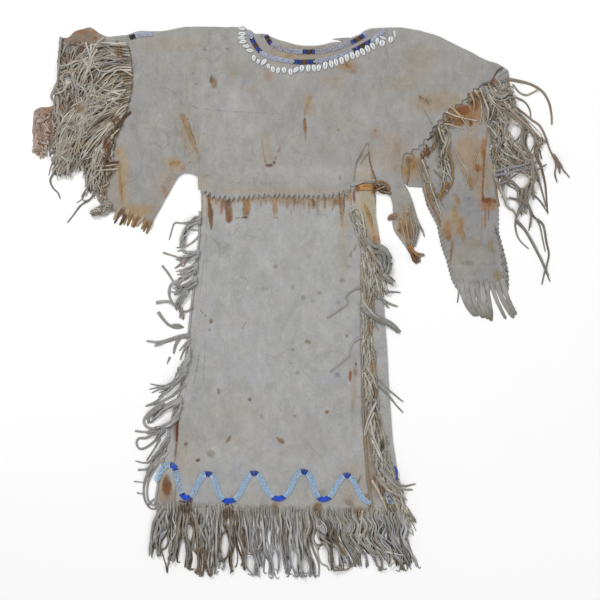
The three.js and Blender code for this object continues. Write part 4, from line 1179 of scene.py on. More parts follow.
# Behind it the back's edge hides, apart from one torn sliver
NECK_BEHIND = [
    (243.8, 27.5), (250, 33), (262, 38), (277, 42), (296, 48), (315, 49), (328, 46.5), (338, 45),
    (342.5, 43.6), (343, 41.2), (338.5, 39.9), (332.3, 38.9), (338, 38), (348, 37.3), (353, 38.6),
    (360, 36.4), (366, 32.5), (374, 30.5), (383.8, 27.9)]
DROP_END = [
    (414.6, 246), (413, 249), (417, 252.4), (424, 253.6), (425, 256), (420.4, 257.4), (421, 261.6),
    (416, 264.4), (412.6, 261), (410.4, 254.5), (405.6, 247)]
FRONT_OUTLINE = closed(
    wobbled(spline(SHOULDER_LEFT), 1), wobbled(spline(in_mm(NECK_SEEN)), 2),
    wobbled(spline(SHOULDER_RIGHT), 3), spline(CUFF_RIGHT), pinked(DIAGONAL_RIGHT, 4, *FINE_TEETH),
    wobbled(spline(SIDE_RIGHT), 5), resample_between(in_mm(DROP_END)),
    wobbled(spline(DROP_INNER), 6), pinked(WAIST_EDGE, 7, 12), wobbled(spline(SLEEVE_LEFT_INNER), 8),
    wobbled(spline(SLEEVE_LEFT_END), 9), wobbled(spline(CUFF_LEFT), 10))
BACK_OUTLINE = closed(
    spline(SHOULDER_LEFT), resample_between(in_mm(NECK_BEHIND)), spline(SHOULDER_RIGHT),
    wobbled(spline(CUFF_EDGE_RIGHT), 11),
    pinked([CUFF_EDGE_RIGHT[-1]] + LEG_RIGHT_OUTER, 12, *LEG_TEETH_OUTER),
    wobbled(spline(LEG_RIGHT_END), 13),
    pinked([LEG_RIGHT_END[-1]] + LEG_RIGHT_INNER, 14, *LEG_TEETH_INNER), BACK_WAIST,
    wobbled(spline(BACK_SLEEVE_LEFT), 15), wobbled(spline(BACK_LEFT_EDGE), 16, 2.0))


def edge_curl(x, y, edge, high, wide):
    """A cut edge that stands up a little."""
    d, _ = distance_to_path(x, y, edge)
    return high * np.exp(-((d / wide) ** 2)) * (1 + 0.6 * cloudy(x, y, 12, 33))


def yoke_under(x, y):
    curl = edge_curl(x, y, WAIST_EDGE, 1.7, 5.5) + edge_curl(x, y, DIAGONAL_RIGHT, 1.4, 6)
    return front_under(x, y) + roll_height(YOKE_ROLLS, x, y) + curl


def hide_piece(name, points, faces, tone, tints, marks, strokes, nodes, tone_at=None):
    x, y = points[:, 0], points[:, 1]
    colors = toned(len(points), tone)
    if tone_at is not None:
        colors = tone_at(colors, x, y)
    colors = soft_tinted(colors, x, y, tints)
    colors *= (1 + 0.05 * cloudy(x, y, 60, 51) + 0.05 * cloudy(x, y, 18, 52))[:, None]
    return make_piece(name, points, faces, HIDE, colors, marked(x, y, marks, strokes), nodes)


def yoke_tones(colors, x, y):
    sleeve = (1 - smooth(-260, -200, x))[:, None]
    return colors * (1 - sleeve) + linear(SLEEVE_TONE) * sleeve


def leg_tones(colors, x, y):
    leg = (smooth(200, 300, x) * (1 - smooth(200, 300, y)))[:, None]
    return colors * (1 - leg) + linear(LEG_TONE) * leg


SPACING = 2.9
points, faces = hide_shell(FRONT_OUTLINE, yoke_under, SPACING, 61, yoke_relief)
yoke_front = hide_piece("hide_yoke_front", points, faces, YOKE_TONE, SOFT_TINTS_YOKE, MARKS_YOKE,
                        STROKES_YOKE, ["yoke_front"], yoke_tones)
points, faces = hide_shell(BACK_OUTLINE, lambda x, y: np.zeros(np.shape(x)), SPACING, 62, back_relief)
yoke_back = hide_piece("hide_yoke_back", points, faces, YOKE_TONE, SOFT_TINTS_BACK, MARKS_BACK,
                       STROKES_BACK, ["yoke_back"], leg_tones)


# ---- The skirt ----
def skirt_edges(y):
    table = np.array(SKIRT)[::-1]
    return [np.interp(y, table[:, 0], table[:, k]) for k in (1, 2, 3, 4)]


def skirt_front_outline():
    ys = np.linspace(WAIST_Y, HEM_Y, 240)
    _, left, right, _ = skirt_edges(ys)
    left = np.column_stack([left + GAP, ys])
    right = np.column_stack([right - GAP, ys])
    left[:, 0] += 0.5 * wander(ys, 14, 71)
    right[:, 0] += 0.5 * wander(ys, 14, 72) - 0.3
    xs = np.linspace(left[-1, 0], right[-1, 0], 150)
    hem = np.column_stack([xs, HEM_Y + 1.2 * wander(xs, 20, 73)])
    waist = np.column_stack([np.linspace(right[0, 0], left[0, 0], 110), np.full(110, WAIST_Y)])
    outline = closed(left, hem, right[::-1], waist)
    return np.column_stack([outline[:, 0], tilted(outline[:, 0], outline[:, 1])])


def skirt_under(x, y):
    return FRONT_UNDER + roll_height(SKIRT_ROLLS, x, y)


points, faces = hide_shell(skirt_front_outline(), skirt_under, SPACING, 63, skirt_relief)
skirt_front = hide_piece("hide_skirt_front", points, faces, SKIRT_TONE, SOFT_TINTS_SKIRT, MARKS_SKIRT,
                         STROKES_SKIRT, ["skirt_front"])


def skirt_back_shell():
    """The back wraps round both folds; rings across it, from the left seam round underneath to the right."""
    rows = 240
    ys = np.linspace(WAIST_Y, HEM_Y, rows)
    fold_left, seam_left, seam_right, fold_right = skirt_edges(ys)
    # Round a fold: the distance inward from it, and the height
    bend, hollow = 1.2, 2.5
    outer = [(bend, SKIRT_TOP), (0.45, 3.75), (0.1, 3.0), (0, 2.15), (0.1, 1.3), (0.45, 0.55), (bend, 0)]
    inner = [(hollow, BACK_TOP), (2.3, 2.15), (hollow, FRONT_UNDER)]
    rings = []
    for y, fl, sl, sr, fr in zip(ys, fold_left, seam_left, seam_right, fold_right):
        ring = [(x, SKIRT_TOP) for x in np.linspace(sl, fl + bend, 12)[:-1]]
        ring += [(fl + a, z) for a, z in outer]
        ring += [(x, 0.0) for x in np.linspace(fl + bend, fr - bend, 30)[1:-1]]
        ring += [(fr - a, z) for a, z in outer[::-1]]
        ring += [(x, SKIRT_TOP) for x in np.linspace(fr - bend, sr, 22)[1:]]
        ring += [(x, FRONT_UNDER) for x in np.linspace(sr, fr - hollow, 12)[:-1]]
        ring += [(fr - a, z) for a, z in inner[::-1]]
        ring += [(x, BACK_TOP) for x in np.linspace(fr - hollow, fl + hollow, 16)[1:-1]]
        ring += [(fl + a, z) for a, z in inner]
        ring += [(x, FRONT_UNDER) for x in np.linspace(fl + hollow, sl, 6)[1:]]
        ring = np.array(ring)
        rings.append(np.column_stack([ring[:, 0], np.full(len(ring), y), ring[:, 1]]))
    size = len(rings[0])
    points = np.vstack(rings)
    upper = points[:, 2] >= SKIRT_TOP - 0.01
    x, y = points[:, 0], points[:, 1]
    relief = np.minimum(0, 0.3 * cloudy(x, y, 30, 81) + 0.14 * cloudy(x, y, 9, 82) - 0.2)
    points[:, 2] += np.where(upper, relief, 0)
    points[:, 0] += np.where(x < -150, 1, -1) * 0.5 * (1 + wander(y, 22, 83)) * (points[:, 2] > 0.1)
    points[:, 1] = tilted(x, y)
    index = np.arange(len(points)).reshape(rows, size)
    caps = []
    for row, flip in ((0, True), (rows - 1, False)):
        ring = index[row]
        shape = [tuple(points[i][[0, 2]]) for i in ring]
        result = delaunay_2d_cdt(shape, [(i, (i + 1) % size) for i in range(size)], [], 1, 1e-5, True)
        for f in result[2]:
            ids = [ring[result[3][i][0]] for i in f]
            middle = np.mean([points[i][[0, 2]] for i in ids], axis=0)
            if len(f) == 3 and inside(np.array(shape), middle[:1], middle[1:])[0]:
                caps.append(ids[::-1] if flip else ids)
    return points, np.vstack([tube(index), np.array(caps)])


points, faces = skirt_back_shell()
skirt_back = hide_piece("hide_skirt_back", points, faces, SKIRT_TONE, SOFT_TINTS_SKIRT_BACK, MARKS_SKIRT_BACK,
                        STROKES_SKIRT_BACK, ["skirt_back"])


# ---- What lies where: the height of the top of the pile, on a grid of cells ----
class Pile:
    CELL = 1.5
    REACH = 660

    def __init__(self):
        self.count = int(2 * self.REACH / self.CELL)
        centers = (np.arange(self.count) + 0.5) * self.CELL - self.REACH
        self.x, self.y = np.meshgrid(centers, centers)
        self.top = np.zeros((self.count, self.count))

    def cells(self, x, y):
        i = np.clip(((np.asarray(y) + self.REACH) / self.CELL).astype(int), 0, self.count - 1)
        j = np.clip(((np.asarray(x) + self.REACH) / self.CELL).astype(int), 0, self.count - 1)
        return i, j

    def height(self, x, y):
        return self.top[self.cells(x, y)]

    def cover(self, outline, height_at):
        flat = inside(outline, self.x.ravel(), self.y.ravel()).reshape(self.x.shape)
        self.top[flat] = np.maximum(self.top[flat], height_at(self.x[flat], self.y[flat]))

    def lay(self, x, y, z):
        np.maximum.at(self.top, self.cells(x, y), z)


pile = Pile()
ys = np.linspace(WAIST_Y, HEM_Y, 60)
edges = skirt_edges(ys)
SKIRT_OUTLINE = np.vstack([np.column_stack([edges[0], tilted(edges[0], ys)]),
                           np.column_stack([edges[3], tilted(edges[3], ys)])[::-1]])
pile.cover(BACK_OUTLINE, lambda x, y: np.full(len(x), BACK_TOP))
pile.cover(SKIRT_OUTLINE, lambda x, y: np.full(len(x), SKIRT_TOP))
pile.cover(skirt_front_outline(), lambda x, y: skirt_under(x, y) + WALL + skirt_relief(x, y))
pile.cover(FRONT_OUTLINE, lambda x, y: yoke_under(x, y) + WALL + yoke_relief(x, y))

# ---- Fringe ----
PILE_CAP = 12.0
CLEARANCE = 0.1
# A strand's section: across, from -1 to 1, and up, from 0 to 1
SECTION = np.array([(1, 0.5), (0.72, 0.98), (-0.72, 0.98), (-1, 0.5), (-0.72, 0.02), (0.72, 0.02)])


def parted(path, u, v, across, down):
    """The path, with the stretch that would cross a gap led round the gap's nearer side."""
    middle, size = np.array(at(u, v)), np.array((across, down)) * GRID
    scaled = (path - middle) / size
    far = np.hypot(scaled[:, 0], scaled[:, 1])
    near = int(np.argmin(far))
    if far[near] >= 1:
        return path
    away = scaled[near] / far[near] if far[near] > 0.15 else normals(scaled)[near]
    reach = np.hypot(*(scaled - scaled[near]).T)
    share = np.cos(np.minimum(reach / 1.9, 1) * math.pi / 2) ** 2
    return path + away * (1 - far[near]) * share[:, None] * size


class Fringe:
    """Strands that share one mesh."""

    def __init__(self, seed):
        self.rng = np.random.default_rng(seed)
        self.points, self.faces, self.colors, self.total = [], [], [], 0
        self.holes = []

    def add(self, path, ring, colors):
        """A closed tube along the path. The ring gives each corner's place to the side and its height."""
        sides, count, size = normals(path), len(path), len(ring)
        x, y = path.T
        block = np.stack([np.column_stack([x + sides[:, 0] * across, y + sides[:, 1] * across, height])
                          for across, height in ring], axis=1)
        index = np.arange(count * size).reshape(count, size) + self.total
        fan = np.array([[0, i, i + 1] for i in range(1, size - 1)])
        self.points.append(block.reshape(-1, 3))
        self.faces += [tube(index), index[0][fan[:, ::-1]], index[-1][fan]]
        self.colors.append(np.repeat(colors, size, axis=0))
        self.total += count * size

    def strand(self, path, wide, thick, color, tip_color=None, root_color=None, taper=0.55, twist=0.5,
               cap=PILE_CAP, shades=0.16, sink=0.0):
        """A strand that lies on the pile along the path, and is added to the pile."""
        rng = self.rng
        path = spline(path, 4.0)
        count = len(path)
        if count < 4:
            return
        # Twice, because the way round one gap may lead into another
        for gap in self.holes + self.holes:
            path = parted(path, *gap)
        t = np.linspace(0, 1, count)
        sides = normals(path)
        width = wide * (1 - (1 - taper) * t**1.6) * (1 + 0.14 * wavering(rng, t * 9))
        width[-1] *= 0.45
        roll = twist * math.pi * wavering(rng, t * rng.uniform(2.0, 4.5))
        deep = thick * (1 - 0.3 * t) * (1 + 0.12 * wavering(rng, t * 7))
        half = width / 2
        cos, sin = np.cos(roll), np.sin(roll)
        spread = np.abs(cos) * half + np.abs(sin) * deep / 2

        def beside(share):
            return path[:, 0] + sides[:, 0] * spread * share, path[:, 1] + sides[:, 1] * spread * share

        rest = np.minimum(np.max([pile.height(*beside(k)) for k in (-0.7, 0, 0.7)], axis=0), cap)
        padded = np.pad(rest, 1, mode="edge")
        rest = np.maximum(np.maximum(padded[:-2], padded[2:]) - 0.5, rest)
        for _ in range(3):
            padded = np.pad(rest, 1, mode="edge")
            rest = np.maximum(rest, (padded[:-2] + 2 * rest + padded[2:]) / 4)
        high = np.abs(cos) * deep + np.abs(sin) * width * 0.8
        z = np.maximum(rest + CLEARANCE - sink * (1 - smooth(0, 0.16, t)), CLEARANCE / 2)
        corners = [(a * half * cos - (b - 0.5) * deep * sin, a * half * sin * 0.8 + (b - 0.5) * deep * cos)
                   for a, b in SECTION]
        lowest = np.min([up for _, up in corners], axis=0)
        for k in (-0.75, -0.3, 0.3, 0.75):
            pile.lay(*beside(k), z + high * 0.9)
        shade = linear(color) * (1 + rng.uniform(-shades, 0.75 * shades))
        end = linear(tip_color if tip_color is not None else color) * 0.92
        blend = (t**2.2)[:, None]
        tones = shade * (1 - blend) + end * blend
        if root_color is not None:
            near = smooth(0, 0.3, t)[:, None]
            tones = linear(root_color) * (1 - near) + tones * near
        tones *= (1 + 0.16 * wavering(rng, t * 6))[:, None]
        self.add(path, [(across, z + up - lowest) for across, up in corners], tones)

    def between(self, guides, counts, wide, colors, wave, spread, thick=1.7, **options):
        """Strands that run between each guide and the next. A guide is a list of grid points, root first."""
        rng = self.rng
        paths = []
        for first, second, count in zip(guides[:-1], guides[1:], counts):
            a = resample(in_mm(first), 14)
            b = resample(in_mm(second), 14)
            for k in range(count):
                s = (k + rng.uniform(0.2, 0.8)) / count
                path = a * (1 - s) + b * s
                t = np.linspace(0, 1, len(path))[:, None]
                drift = rng.normal(0, spread, 2) * t**1.3
                phase, waves = rng.uniform(0, 6.28), rng.uniform(0.6, 1.7)
                bow = wave * rng.uniform(-1, 1) * np.sin(waves * math.pi * t * 2 + phase) * t
                bow += wave * 0.45 * rng.normal() * np.sin(5.5 * math.pi * t + phase) * t
                path = path + drift + normals(path) * bow
                end = 1 - 0.18 * rng.random() ** 1.5
                path = path[: max(4, int(round(len(path) * end)))]
                paths.append(path)
        for k in rng.permutation(len(paths)):
            color = colors[rng.integers(len(colors))]
            self.strand(paths[k], wide * rng.uniform(0.78, 1.2), thick * rng.uniform(0.85, 1.15), color,
                        **options)

    def tangle(self, band, half, count, length, wide, colors, turn=30, wave=12, thick=1.6, shades=0.2,
               **options):
        """Short strands strewn along a band: they stray about turn degrees, and curl about wave a step."""
        rng = self.rng
        middle = spline(in_mm(band), 4)
        half = half * GRID
        flow = np.gradient(middle, axis=0)
        flow /= np.hypot(flow[:, 0], flow[:, 1])[:, None]
        for _ in range(count):
            k = rng.integers(len(middle))
            place = middle[k] + rng.uniform(-half, half) * np.array([-flow[k][1], flow[k][0]])
            heading = math.atan2(flow[k][1], flow[k][0]) + math.radians(rng.normal(0, turn))
            bend, swing = math.radians(rng.normal(0, wave)), rng.uniform(0, 6.28)
            step = length * rng.uniform(0.6, 1.3) / 9
            color = colors[rng.integers(len(colors))]
            width, deep = wide * rng.uniform(0.75, 1.25), thick * rng.uniform(0.85, 1.15)
            path = [place]
            for s in range(9):
                heading += bend + math.radians(1.6 * wave) * math.sin(swing + 1.3 * s)
                place = place + step * np.array([math.cos(heading), math.sin(heading)])
                if np.min(np.hypot(middle[:, 0] - place[0], middle[:, 1] - place[1])) > half * 1.1:
                    break
                path.append(place)
            if len(path) > 3:
                self.strand(path, width, deep, color, taper=0.8, shades=shades, **options)

    def strip(self, path, z, high, color):
        """The flat band that the strands are cut from."""
        path = np.asarray(path, float)
        low, top = np.full(len(path), z), np.full(len(path), z + high)
        side = BACKING / 2
        self.add(path, [(-side, low), (side, low), (side, top), (-side, top)], toned(len(path), color))

    def piece(self, name, nodes, marks=()):
        points = np.vstack(self.points)
        mark = marked(points[:, 0], points[:, 1], marks)
        return make_piece(name, points, np.vstack(self.faces), THONG, np.vstack(self.colors), mark,
                          nodes)


def strands(fringe, rows, wider=1, **options):
    """Single strands drawn one by one: grid points, width, colour."""
    for path, wide, color in rows:
        fringe.strand(in_mm(path), wider * wide, 1.8, color, **options)


def seam_path(column, aside):
    """A line down the skirt beside one of its edges."""
    ys = np.linspace(SEAM_TOP, HEM_Y, 90)
    x = skirt_edges(ys)[column]
    return np.column_stack([x + aside, tilted(x, ys)])


ASH = [(176, 174, 166), (158, 155, 147), (142, 138, 129), (190, 186, 176), (128, 120, 108)]
EARTH = [(150, 138, 120), (134, 118, 98), (166, 156, 138), (120, 100, 78), (176, 168, 150)]
MIXED = ASH + EARTH[:3]

# Left sleeve: the strands leave the cuff to the left and then hang down in a matted mass.
SLEEVE_LEFT_OVER = [
    [(126, 43), (114, 43), (102, 42), (91, 47), (83, 58), (79, 74)],
    [(129, 48), (116, 48), (102, 48), (90, 56), (82, 72), (80, 92)],
    [(131, 58), (118, 57), (104, 62), (94, 74), (86, 92), (78, 112)],
    [(132, 70), (120, 69), (106, 74), (95, 87), (84, 106), (72, 128)],
    [(132, 82), (120, 84), (106, 88), (93, 100), (78, 120), (64, 144)],
    [(130, 95), (116, 100), (100, 106), (85, 120), (69, 144), (57, 168)],
    [(128, 105), (112, 110), (97, 116), (81, 132), (66, 154), (54, 176)],
    [(126, 112), (108, 122), (93, 134), (79, 149), (68, 164), (62, 177)],
    [(122, 118), (106, 131), (95, 146), (87, 160), (82, 171)],
    [(116, 128), (104, 142), (95, 160), (89, 176), (86, 190)],
    [(113, 140), (104, 152), (98, 168), (94, 186), (92, 198)],
    [(110, 152), (106, 162), (101, 178), (99, 192)],
]
SLEEVE_LEFT_SINGLE = [
    ([(104, 38), (96, 46), (91, 58), (92, 68), (97, 64), (108, 62)], 4.4, (186, 182, 172)),
    ([(92, 44), (91, 56), (88, 70), (82, 82)], 5.5, (186, 184, 176)),
    ([(132, 68), (118, 68), (108, 72), (98, 70), (92, 58)], 4.4, (190, 186, 176)),
    ([(133, 76), (120, 70), (110, 78), (102, 84)], 4.4, (186, 180, 168)),
    ([(61, 37), (60, 52), (59, 68), (57.5, 84), (54, 96)], 6.5, (150, 145, 136)),
    ([(58, 84), (54, 92), (52, 98), (55, 104), (55, 112)], 6.5, (150, 146, 138)),
    ([(86, 42), (89, 52), (92, 62), (88, 72), (84, 84)], 5, (186, 182, 172)),
    ([(98, 50), (91, 60), (84, 68), (79, 78), (76, 90)], 4.6, (186, 182, 170)),
    ([(84, 60), (90, 70), (93, 82), (90, 96)], 4.6, (178, 176, 168)),
    ([(78, 84), (86, 92), (88, 104), (82, 114)], 4.6, (172, 170, 164)),
    ([(124, 96), (112, 93), (102, 98), (92, 96), (84, 104)], 4.4, (182, 178, 166)),
    ([(126, 90), (114, 92), (104, 90), (96, 84)], 4.4, (176, 172, 160)),
    ([(96, 100), (104, 102), (112, 108), (120, 106)], 4.2, (176, 168, 152)),
    ([(88, 118), (76, 126), (66, 128), (56, 136)], 4.6, (176, 174, 168)),
    ([(54, 112), (60, 124), (56, 138), (60, 150), (55, 162)], 5, (146, 142, 134)),
    ([(54, 172), (50, 180), (53, 188), (58, 193), (60, 199)], 5.2, (128, 128, 124)),
    ([(90, 184), (85, 192), (82, 199), (76, 203)], 3.6, (130, 128, 122)),
    ([(96, 190), (90, 199), (81, 205), (74, 214), (67, 223)], 5.2, (120, 116, 112)),
    ([(86, 190), (82, 196), (84, 201), (90, 199)], 3.4, (140, 136, 128)),
    ([(131, 112), (122, 121), (112, 134), (106, 140)], 5.5, (84, 66, 44)),
    ([(128, 106), (120, 110), (110, 124), (96, 134)], 4.4, (182, 176, 160)),
    ([(126, 108), (116, 118), (106, 131), (98, 142)], 4, (190, 182, 164)),
    ([(120, 128), (112, 138), (104, 150), (100, 158)], 4, (180, 172, 154)),
    ([(118, 164), (108, 166), (98, 166)], 3.6, (176, 160, 138)),
    ([(118, 169), (108, 170), (96, 171)], 3.6, (184, 178, 164)),
    ([(119, 162), (112, 163), (104, 164)], 4.6, (74, 56, 42)),
]

sleeve_left = Fringe(101)
sleeve_left.strip(spline(CUFF_LEFT[1:-1]), FRONT_UNDER, 2.0, (140, 130, 114))
sleeve_left.holes = [(68.2, 80.6, 5.2, 4.4)]
MATTED_DARK = [(136, 124, 110), (120, 104, 88), (146, 136, 122), (150, 142, 130), (110, 96, 80)]
MATTED_LIGHT = [
    (170, 166, 155), (154, 149, 138), (178, 174, 163), (146, 138, 126), (160, 148, 130), (150, 144, 144)]
for band, half, count in [
        ([(67, 39), (66, 60), (64.5, 85), (61, 108), (61, 130), (61, 150), (61, 170)], 7.5, 110),
        ([(77, 40), (76, 60), (75, 85), (74, 110), (74, 140), (72, 170)], 8, 100),
        ([(92, 42), (90, 60), (88, 90), (87, 120), (88, 150), (93, 186)], 8, 100)]:
    sleeve_left.tangle(band, half, count, 62, 4.8, MATTED_DARK, turn=30, wave=8, cap=5)
sleeve_left.tangle([(108, 40), (106, 70), (108, 100), (106, 130), (104, 160)], 10, 70, 52, 4.8, MATTED_DARK,
                   turn=44, wave=9, cap=5)
sleeve_left.tangle([(112, 136), (108, 152), (107, 170), (103, 186), (102, 198)], 5.5, 70, 44, 4.2,
                   EARTH + MATTED_DARK, turn=24, wave=9, cap=6)
sleeve_left.tangle([(66, 42), (65, 60), (64, 85), (60, 108), (60, 140), (60, 168)], 7.5, 70, 74, 4.2,
                   MATTED_LIGHT, turn=20, wave=8, cap=8)
sleeve_left.between(SLEEVE_LEFT_OVER, [8, 9, 9, 9, 9, 9, 9, 9, 8, 8, 7], wide=4.2, colors=MIXED, wave=10,
                    spread=10, cap=10)
for band, half, count, length, turn in [
        ([(128, 58), (114, 57), (100, 61), (89, 74), (82, 92)], 11, 46, 76, 16),
        ([(128, 88), (112, 94), (94, 106), (77, 127), (64, 152)], 15, 84, 84, 16),
        ([(98, 46), (84, 52), (72, 66), (64, 92)], 10, 44, 54, 30),
        ([(104, 150), (98, 166), (94, 188)], 5, 24, 60, 12),
        ([(84, 84), (80, 110), (74, 140), (66, 168)], 10, 50, 66, 20)]:
    sleeve_left.tangle(band, half, count, length, 3.8, MATTED_LIGHT, turn=turn, wave=7)
sleeve_left.tangle([(119, 122), (112, 136), (107, 150), (105, 164)], 4.5, 50, 20, 3.2,
                   [(86, 64, 44), (108, 84, 56), (150, 132, 108), (100, 84, 66)], turn=60)
sleeve_left.tangle([(113, 205), (103, 209), (94, 213)], 4, 34, 34, 3.8, ASH + EARTH[:2], turn=18, wave=8,
                   cap=8)
sleeve_left.tangle([(44, 109), (43, 120), (43, 134), (41, 145), (40, 151)], 7.5, 90, 30, 6.6,
                   [(178, 156, 142), (166, 140, 124), (158, 138, 124), (184, 166, 152), (166, 156, 146)],
                   turn=50, wave=13, cap=4, thick=1.1, shades=0.1)
strands(sleeve_left, SLEEVE_LEFT_SINGLE, twist=0.3)
MARKS_SLEEVE_LEFT = [
    (81.5, 48.5, 4.5, 4, 0, (150, 98, 66), 0.7),
    (66, 58, 9, 6, 10, (132, 96, 64), 0.6),
    (74, 44, 4, 2.5, 30, (84, 62, 46), 0.6),
    (119, 52, 4.5, 7, 0, (142, 108, 70), 0.8),
    (123, 60, 3, 8, 0, (150, 120, 80), 0.5),
    (79.5, 110, 5, 6, 40, (150, 114, 60), 0.6),
    (61.7, 108, 5, 4, 0, (146, 96, 66), 0.55),
    (97, 82, 5, 5, 0, (146, 112, 94), 0.45),
    (73, 125, 6, 3, -10, (124, 92, 62), 0.5),
    (115, 119.5, 6, 4, 30, (104, 68, 30), 0.85),
    (127, 79, 4, 6, 0, (160, 130, 80), 0.6),
    (106.5, 143, 4, 8, 20, (122, 76, 46), 0.7),
    (105, 158, 5, 5, 0, (130, 90, 60), 0.5),
    (124, 100, 5, 8, 0, (140, 112, 72), 0.4),
    (66, 98, 10, 4, 0, (160, 134, 116), 0.45),
    (103, 193, 3, 5, 0, (120, 84, 48), 0.6),
    (68, 148, 8, 10, 0, (150, 132, 110), 0.35),
    (92, 130, 8, 8, 0, (146, 132, 92), 0.35),
    (46, 112, 5, 4, 0, (172, 126, 98), 0.6),
    (40, 130, 4, 8, 0, (150, 108, 84), 0.5),
]
sleeve_left_strands = sleeve_left.piece("fringe_strands_sleeve_left", ["fringe_sleeve_left"],
                                        MARKS_SLEEVE_LEFT)

leg_left = Fringe(102)
leg_left.strip(spline(SLEEVE_LEFT_END[:3]), FRONT_UNDER, 2.0, (140, 110, 76))
LEG_LEFT_STRIPS = [
    ([(121, 207), (116, 214), (113.4, 220)], 6, (166, 150, 124)),
    ([(125, 207), (119, 215), (114.2, 223.5)], 7.6, (112, 88, 68)),
    ([(128.6, 209), (126, 218), (123.6, 225)], 8, (158, 132, 96)),
    ([(126.6, 212), (123, 219.5), (119.4, 225.3)], 8.4, (92, 74, 44)),
    ([(132, 212), (129.4, 220), (127, 226)], 8, (138, 110, 64)),
    ([(136, 214), (133.6, 221.6), (131.4, 227)], 9, (160, 132, 90)),
    ([(138, 216), (135.4, 223), (133.4, 227.6)], 7, (118, 86, 46)),
    ([(144.6, 215), (140, 222), (136.4, 226.6)], 8, (164, 146, 124)),
    ([(142.6, 217), (139, 222.6), (136.8, 226)], 3.4, (116, 84, 54)),
    ([(147, 218), (143.4, 225), (141, 229.4)], 7, (150, 126, 88)),
    ([(149, 220), (145, 227), (143.4, 231.8)], 8, (126, 102, 74)),
    ([(152, 218.6), (149, 227), (146.2, 234)], 8.6, (138, 116, 84)),
]
for path, wide, color in LEG_LEFT_STRIPS:
    leg_left.strand(in_mm(path), wide, 1.7, color, twist=0.05, taper=0.6, sink=1.7,
                    root_color=0.5 * np.array(color) + 0.5 * np.array(SLEEVE_TONE))
leg_left_strands = leg_left.piece("fringe_strands_leg_left", ["fringe_leg_left"])

# Right sleeve
SLEEVE_RIGHT_GUIDES = [
    [(505, 84), (512, 92), (518, 104), (521, 118)],
    [(500, 100), (508, 112), (517, 126), (524, 142), (528, 156)],
    [(497, 118), (504, 130), (512, 146), (522, 160), (528, 172)],
    [(495, 134), (500, 146), (508, 158), (518, 168), (528, 182), (532, 196)],
    [(495, 150), (502, 162), (512, 170), (523, 186), (528, 200), (529, 216)],
    [(494, 164), (500, 176), (508, 190), (516, 204), (521, 216)],
    [(494, 178), (499, 190), (506, 202), (514, 214), (520, 224)],
]
SLEEVE_RIGHT_WEB = [
    [(512, 104), (524, 114), (536, 130), (546, 144)],
    [(510, 112), (522, 124), (532, 140), (536, 156), (534, 170)],
    [(508, 122), (518, 136), (527, 150), (532, 166), (534, 184)],
    [(506, 132), (516, 146), (526, 158), (536, 172), (541, 186)],
]
SLEEVE_RIGHT_SINGLE = [
    ([(508, 79), (518, 81), (530, 84), (542, 91), (549, 102), (551.5, 114), (552, 125)], 7, (140, 130, 116)),
    ([(513, 84), (519, 92), (526, 95), (533, 92.5), (539, 89)], 5, (146, 138, 122)),
    ([(507, 98), (516, 98), (525, 102), (530, 110), (531, 118)], 5.5, (138, 130, 118)),
    ([(510, 105), (522, 112), (532, 120), (540, 126), (546, 138), (550, 150), (556, 160), (563, 169),
     (570, 178)], 6.5, (132, 124, 114)),
    ([(552, 154), (556, 164), (555, 174), (557.5, 183)], 5, (130, 112, 102)),
    ([(552, 154), (558, 164), (560, 174)], 7.5, (132, 112, 102)),
    ([(553, 155), (561, 166), (565, 173)], 7, (136, 118, 108)),
    ([(505, 106), (517, 117), (529, 128), (540, 138), (546, 143)], 6.5, (150, 138, 124)),
    ([(506, 112), (518, 122), (530, 132), (541, 142)], 5.5, (142, 134, 122)),
    ([(523, 126), (521, 138), (524, 148), (530, 156)], 6.5, (128, 124, 116)),
    ([(528, 130), (526, 142), (529, 154)], 5.5, (136, 130, 120)),
    ([(546, 140), (538, 148), (532, 157), (530, 166)], 6.5, (140, 126, 110)),
    ([(543, 138), (534, 146), (529, 154)], 5, (130, 122, 112)),
    ([(534, 152), (541, 167), (545, 182), (546.5, 196), (548, 214)], 6, (118, 100, 86)),
    ([(530, 158), (536, 170), (540, 184), (544, 198), (546, 207)], 5.5, (132, 126, 116)),
    ([(537, 170), (543, 166.5), (547, 164)], 4.5, (124, 120, 114)),
    ([(500, 173), (511, 181), (521, 190), (528, 193)], 6, (128, 124, 116)),
    ([(502, 180), (510, 186), (519, 191)], 4.6, (138, 132, 122)),
    ([(528, 192), (535, 196), (541, 202), (548, 213)], 5.5, (122, 120, 114)),
    ([(522, 188), (520, 203), (515.5, 221), (516.6, 232.7), (520.5, 241), (529, 249)], 5, (124, 122, 116)),
    ([(530, 188), (524, 204), (516, 219), (526, 232), (539, 256), (550.5, 282)], 6.5, (118, 117, 112)),
    ([(516, 219), (524, 228), (532, 240), (541, 258), (549, 276)], 4.6, (134, 132, 126)),
    ([(528, 205), (534, 216.6), (543, 224.6), (546.5, 242), (549, 255.6), (545, 271), (542, 285)],
     5.5, (122, 116, 108)),
    ([(536, 219), (540, 226), (543, 240), (545.5, 252)], 4.4, (130, 126, 118)),
    ([(509, 198), (519, 200), (527, 205), (531, 214), (529, 231)], 6.5, (120, 116, 110)),
    ([(527, 186), (525, 198), (529, 208), (531, 218), (530, 228)], 6, (130, 126, 118)),
    ([(536, 176), (532, 188), (534, 200)], 6, (130, 120, 106)),
    ([(531, 160), (533, 176), (530, 190), (527, 204)], 6, (138, 132, 122)),
    ([(495, 172), (508, 168), (520, 166), (532, 162)], 6.5, (142, 140, 146)),
    ([(494, 176), (508, 173), (522, 170), (534, 168)], 6, (132, 132, 138)),
    ([(497, 184), (505, 182), (514, 176), (520, 172)], 5, (118, 116, 112)),
    ([(552, 281), (548, 286)], 3, (120, 114, 106)),
]
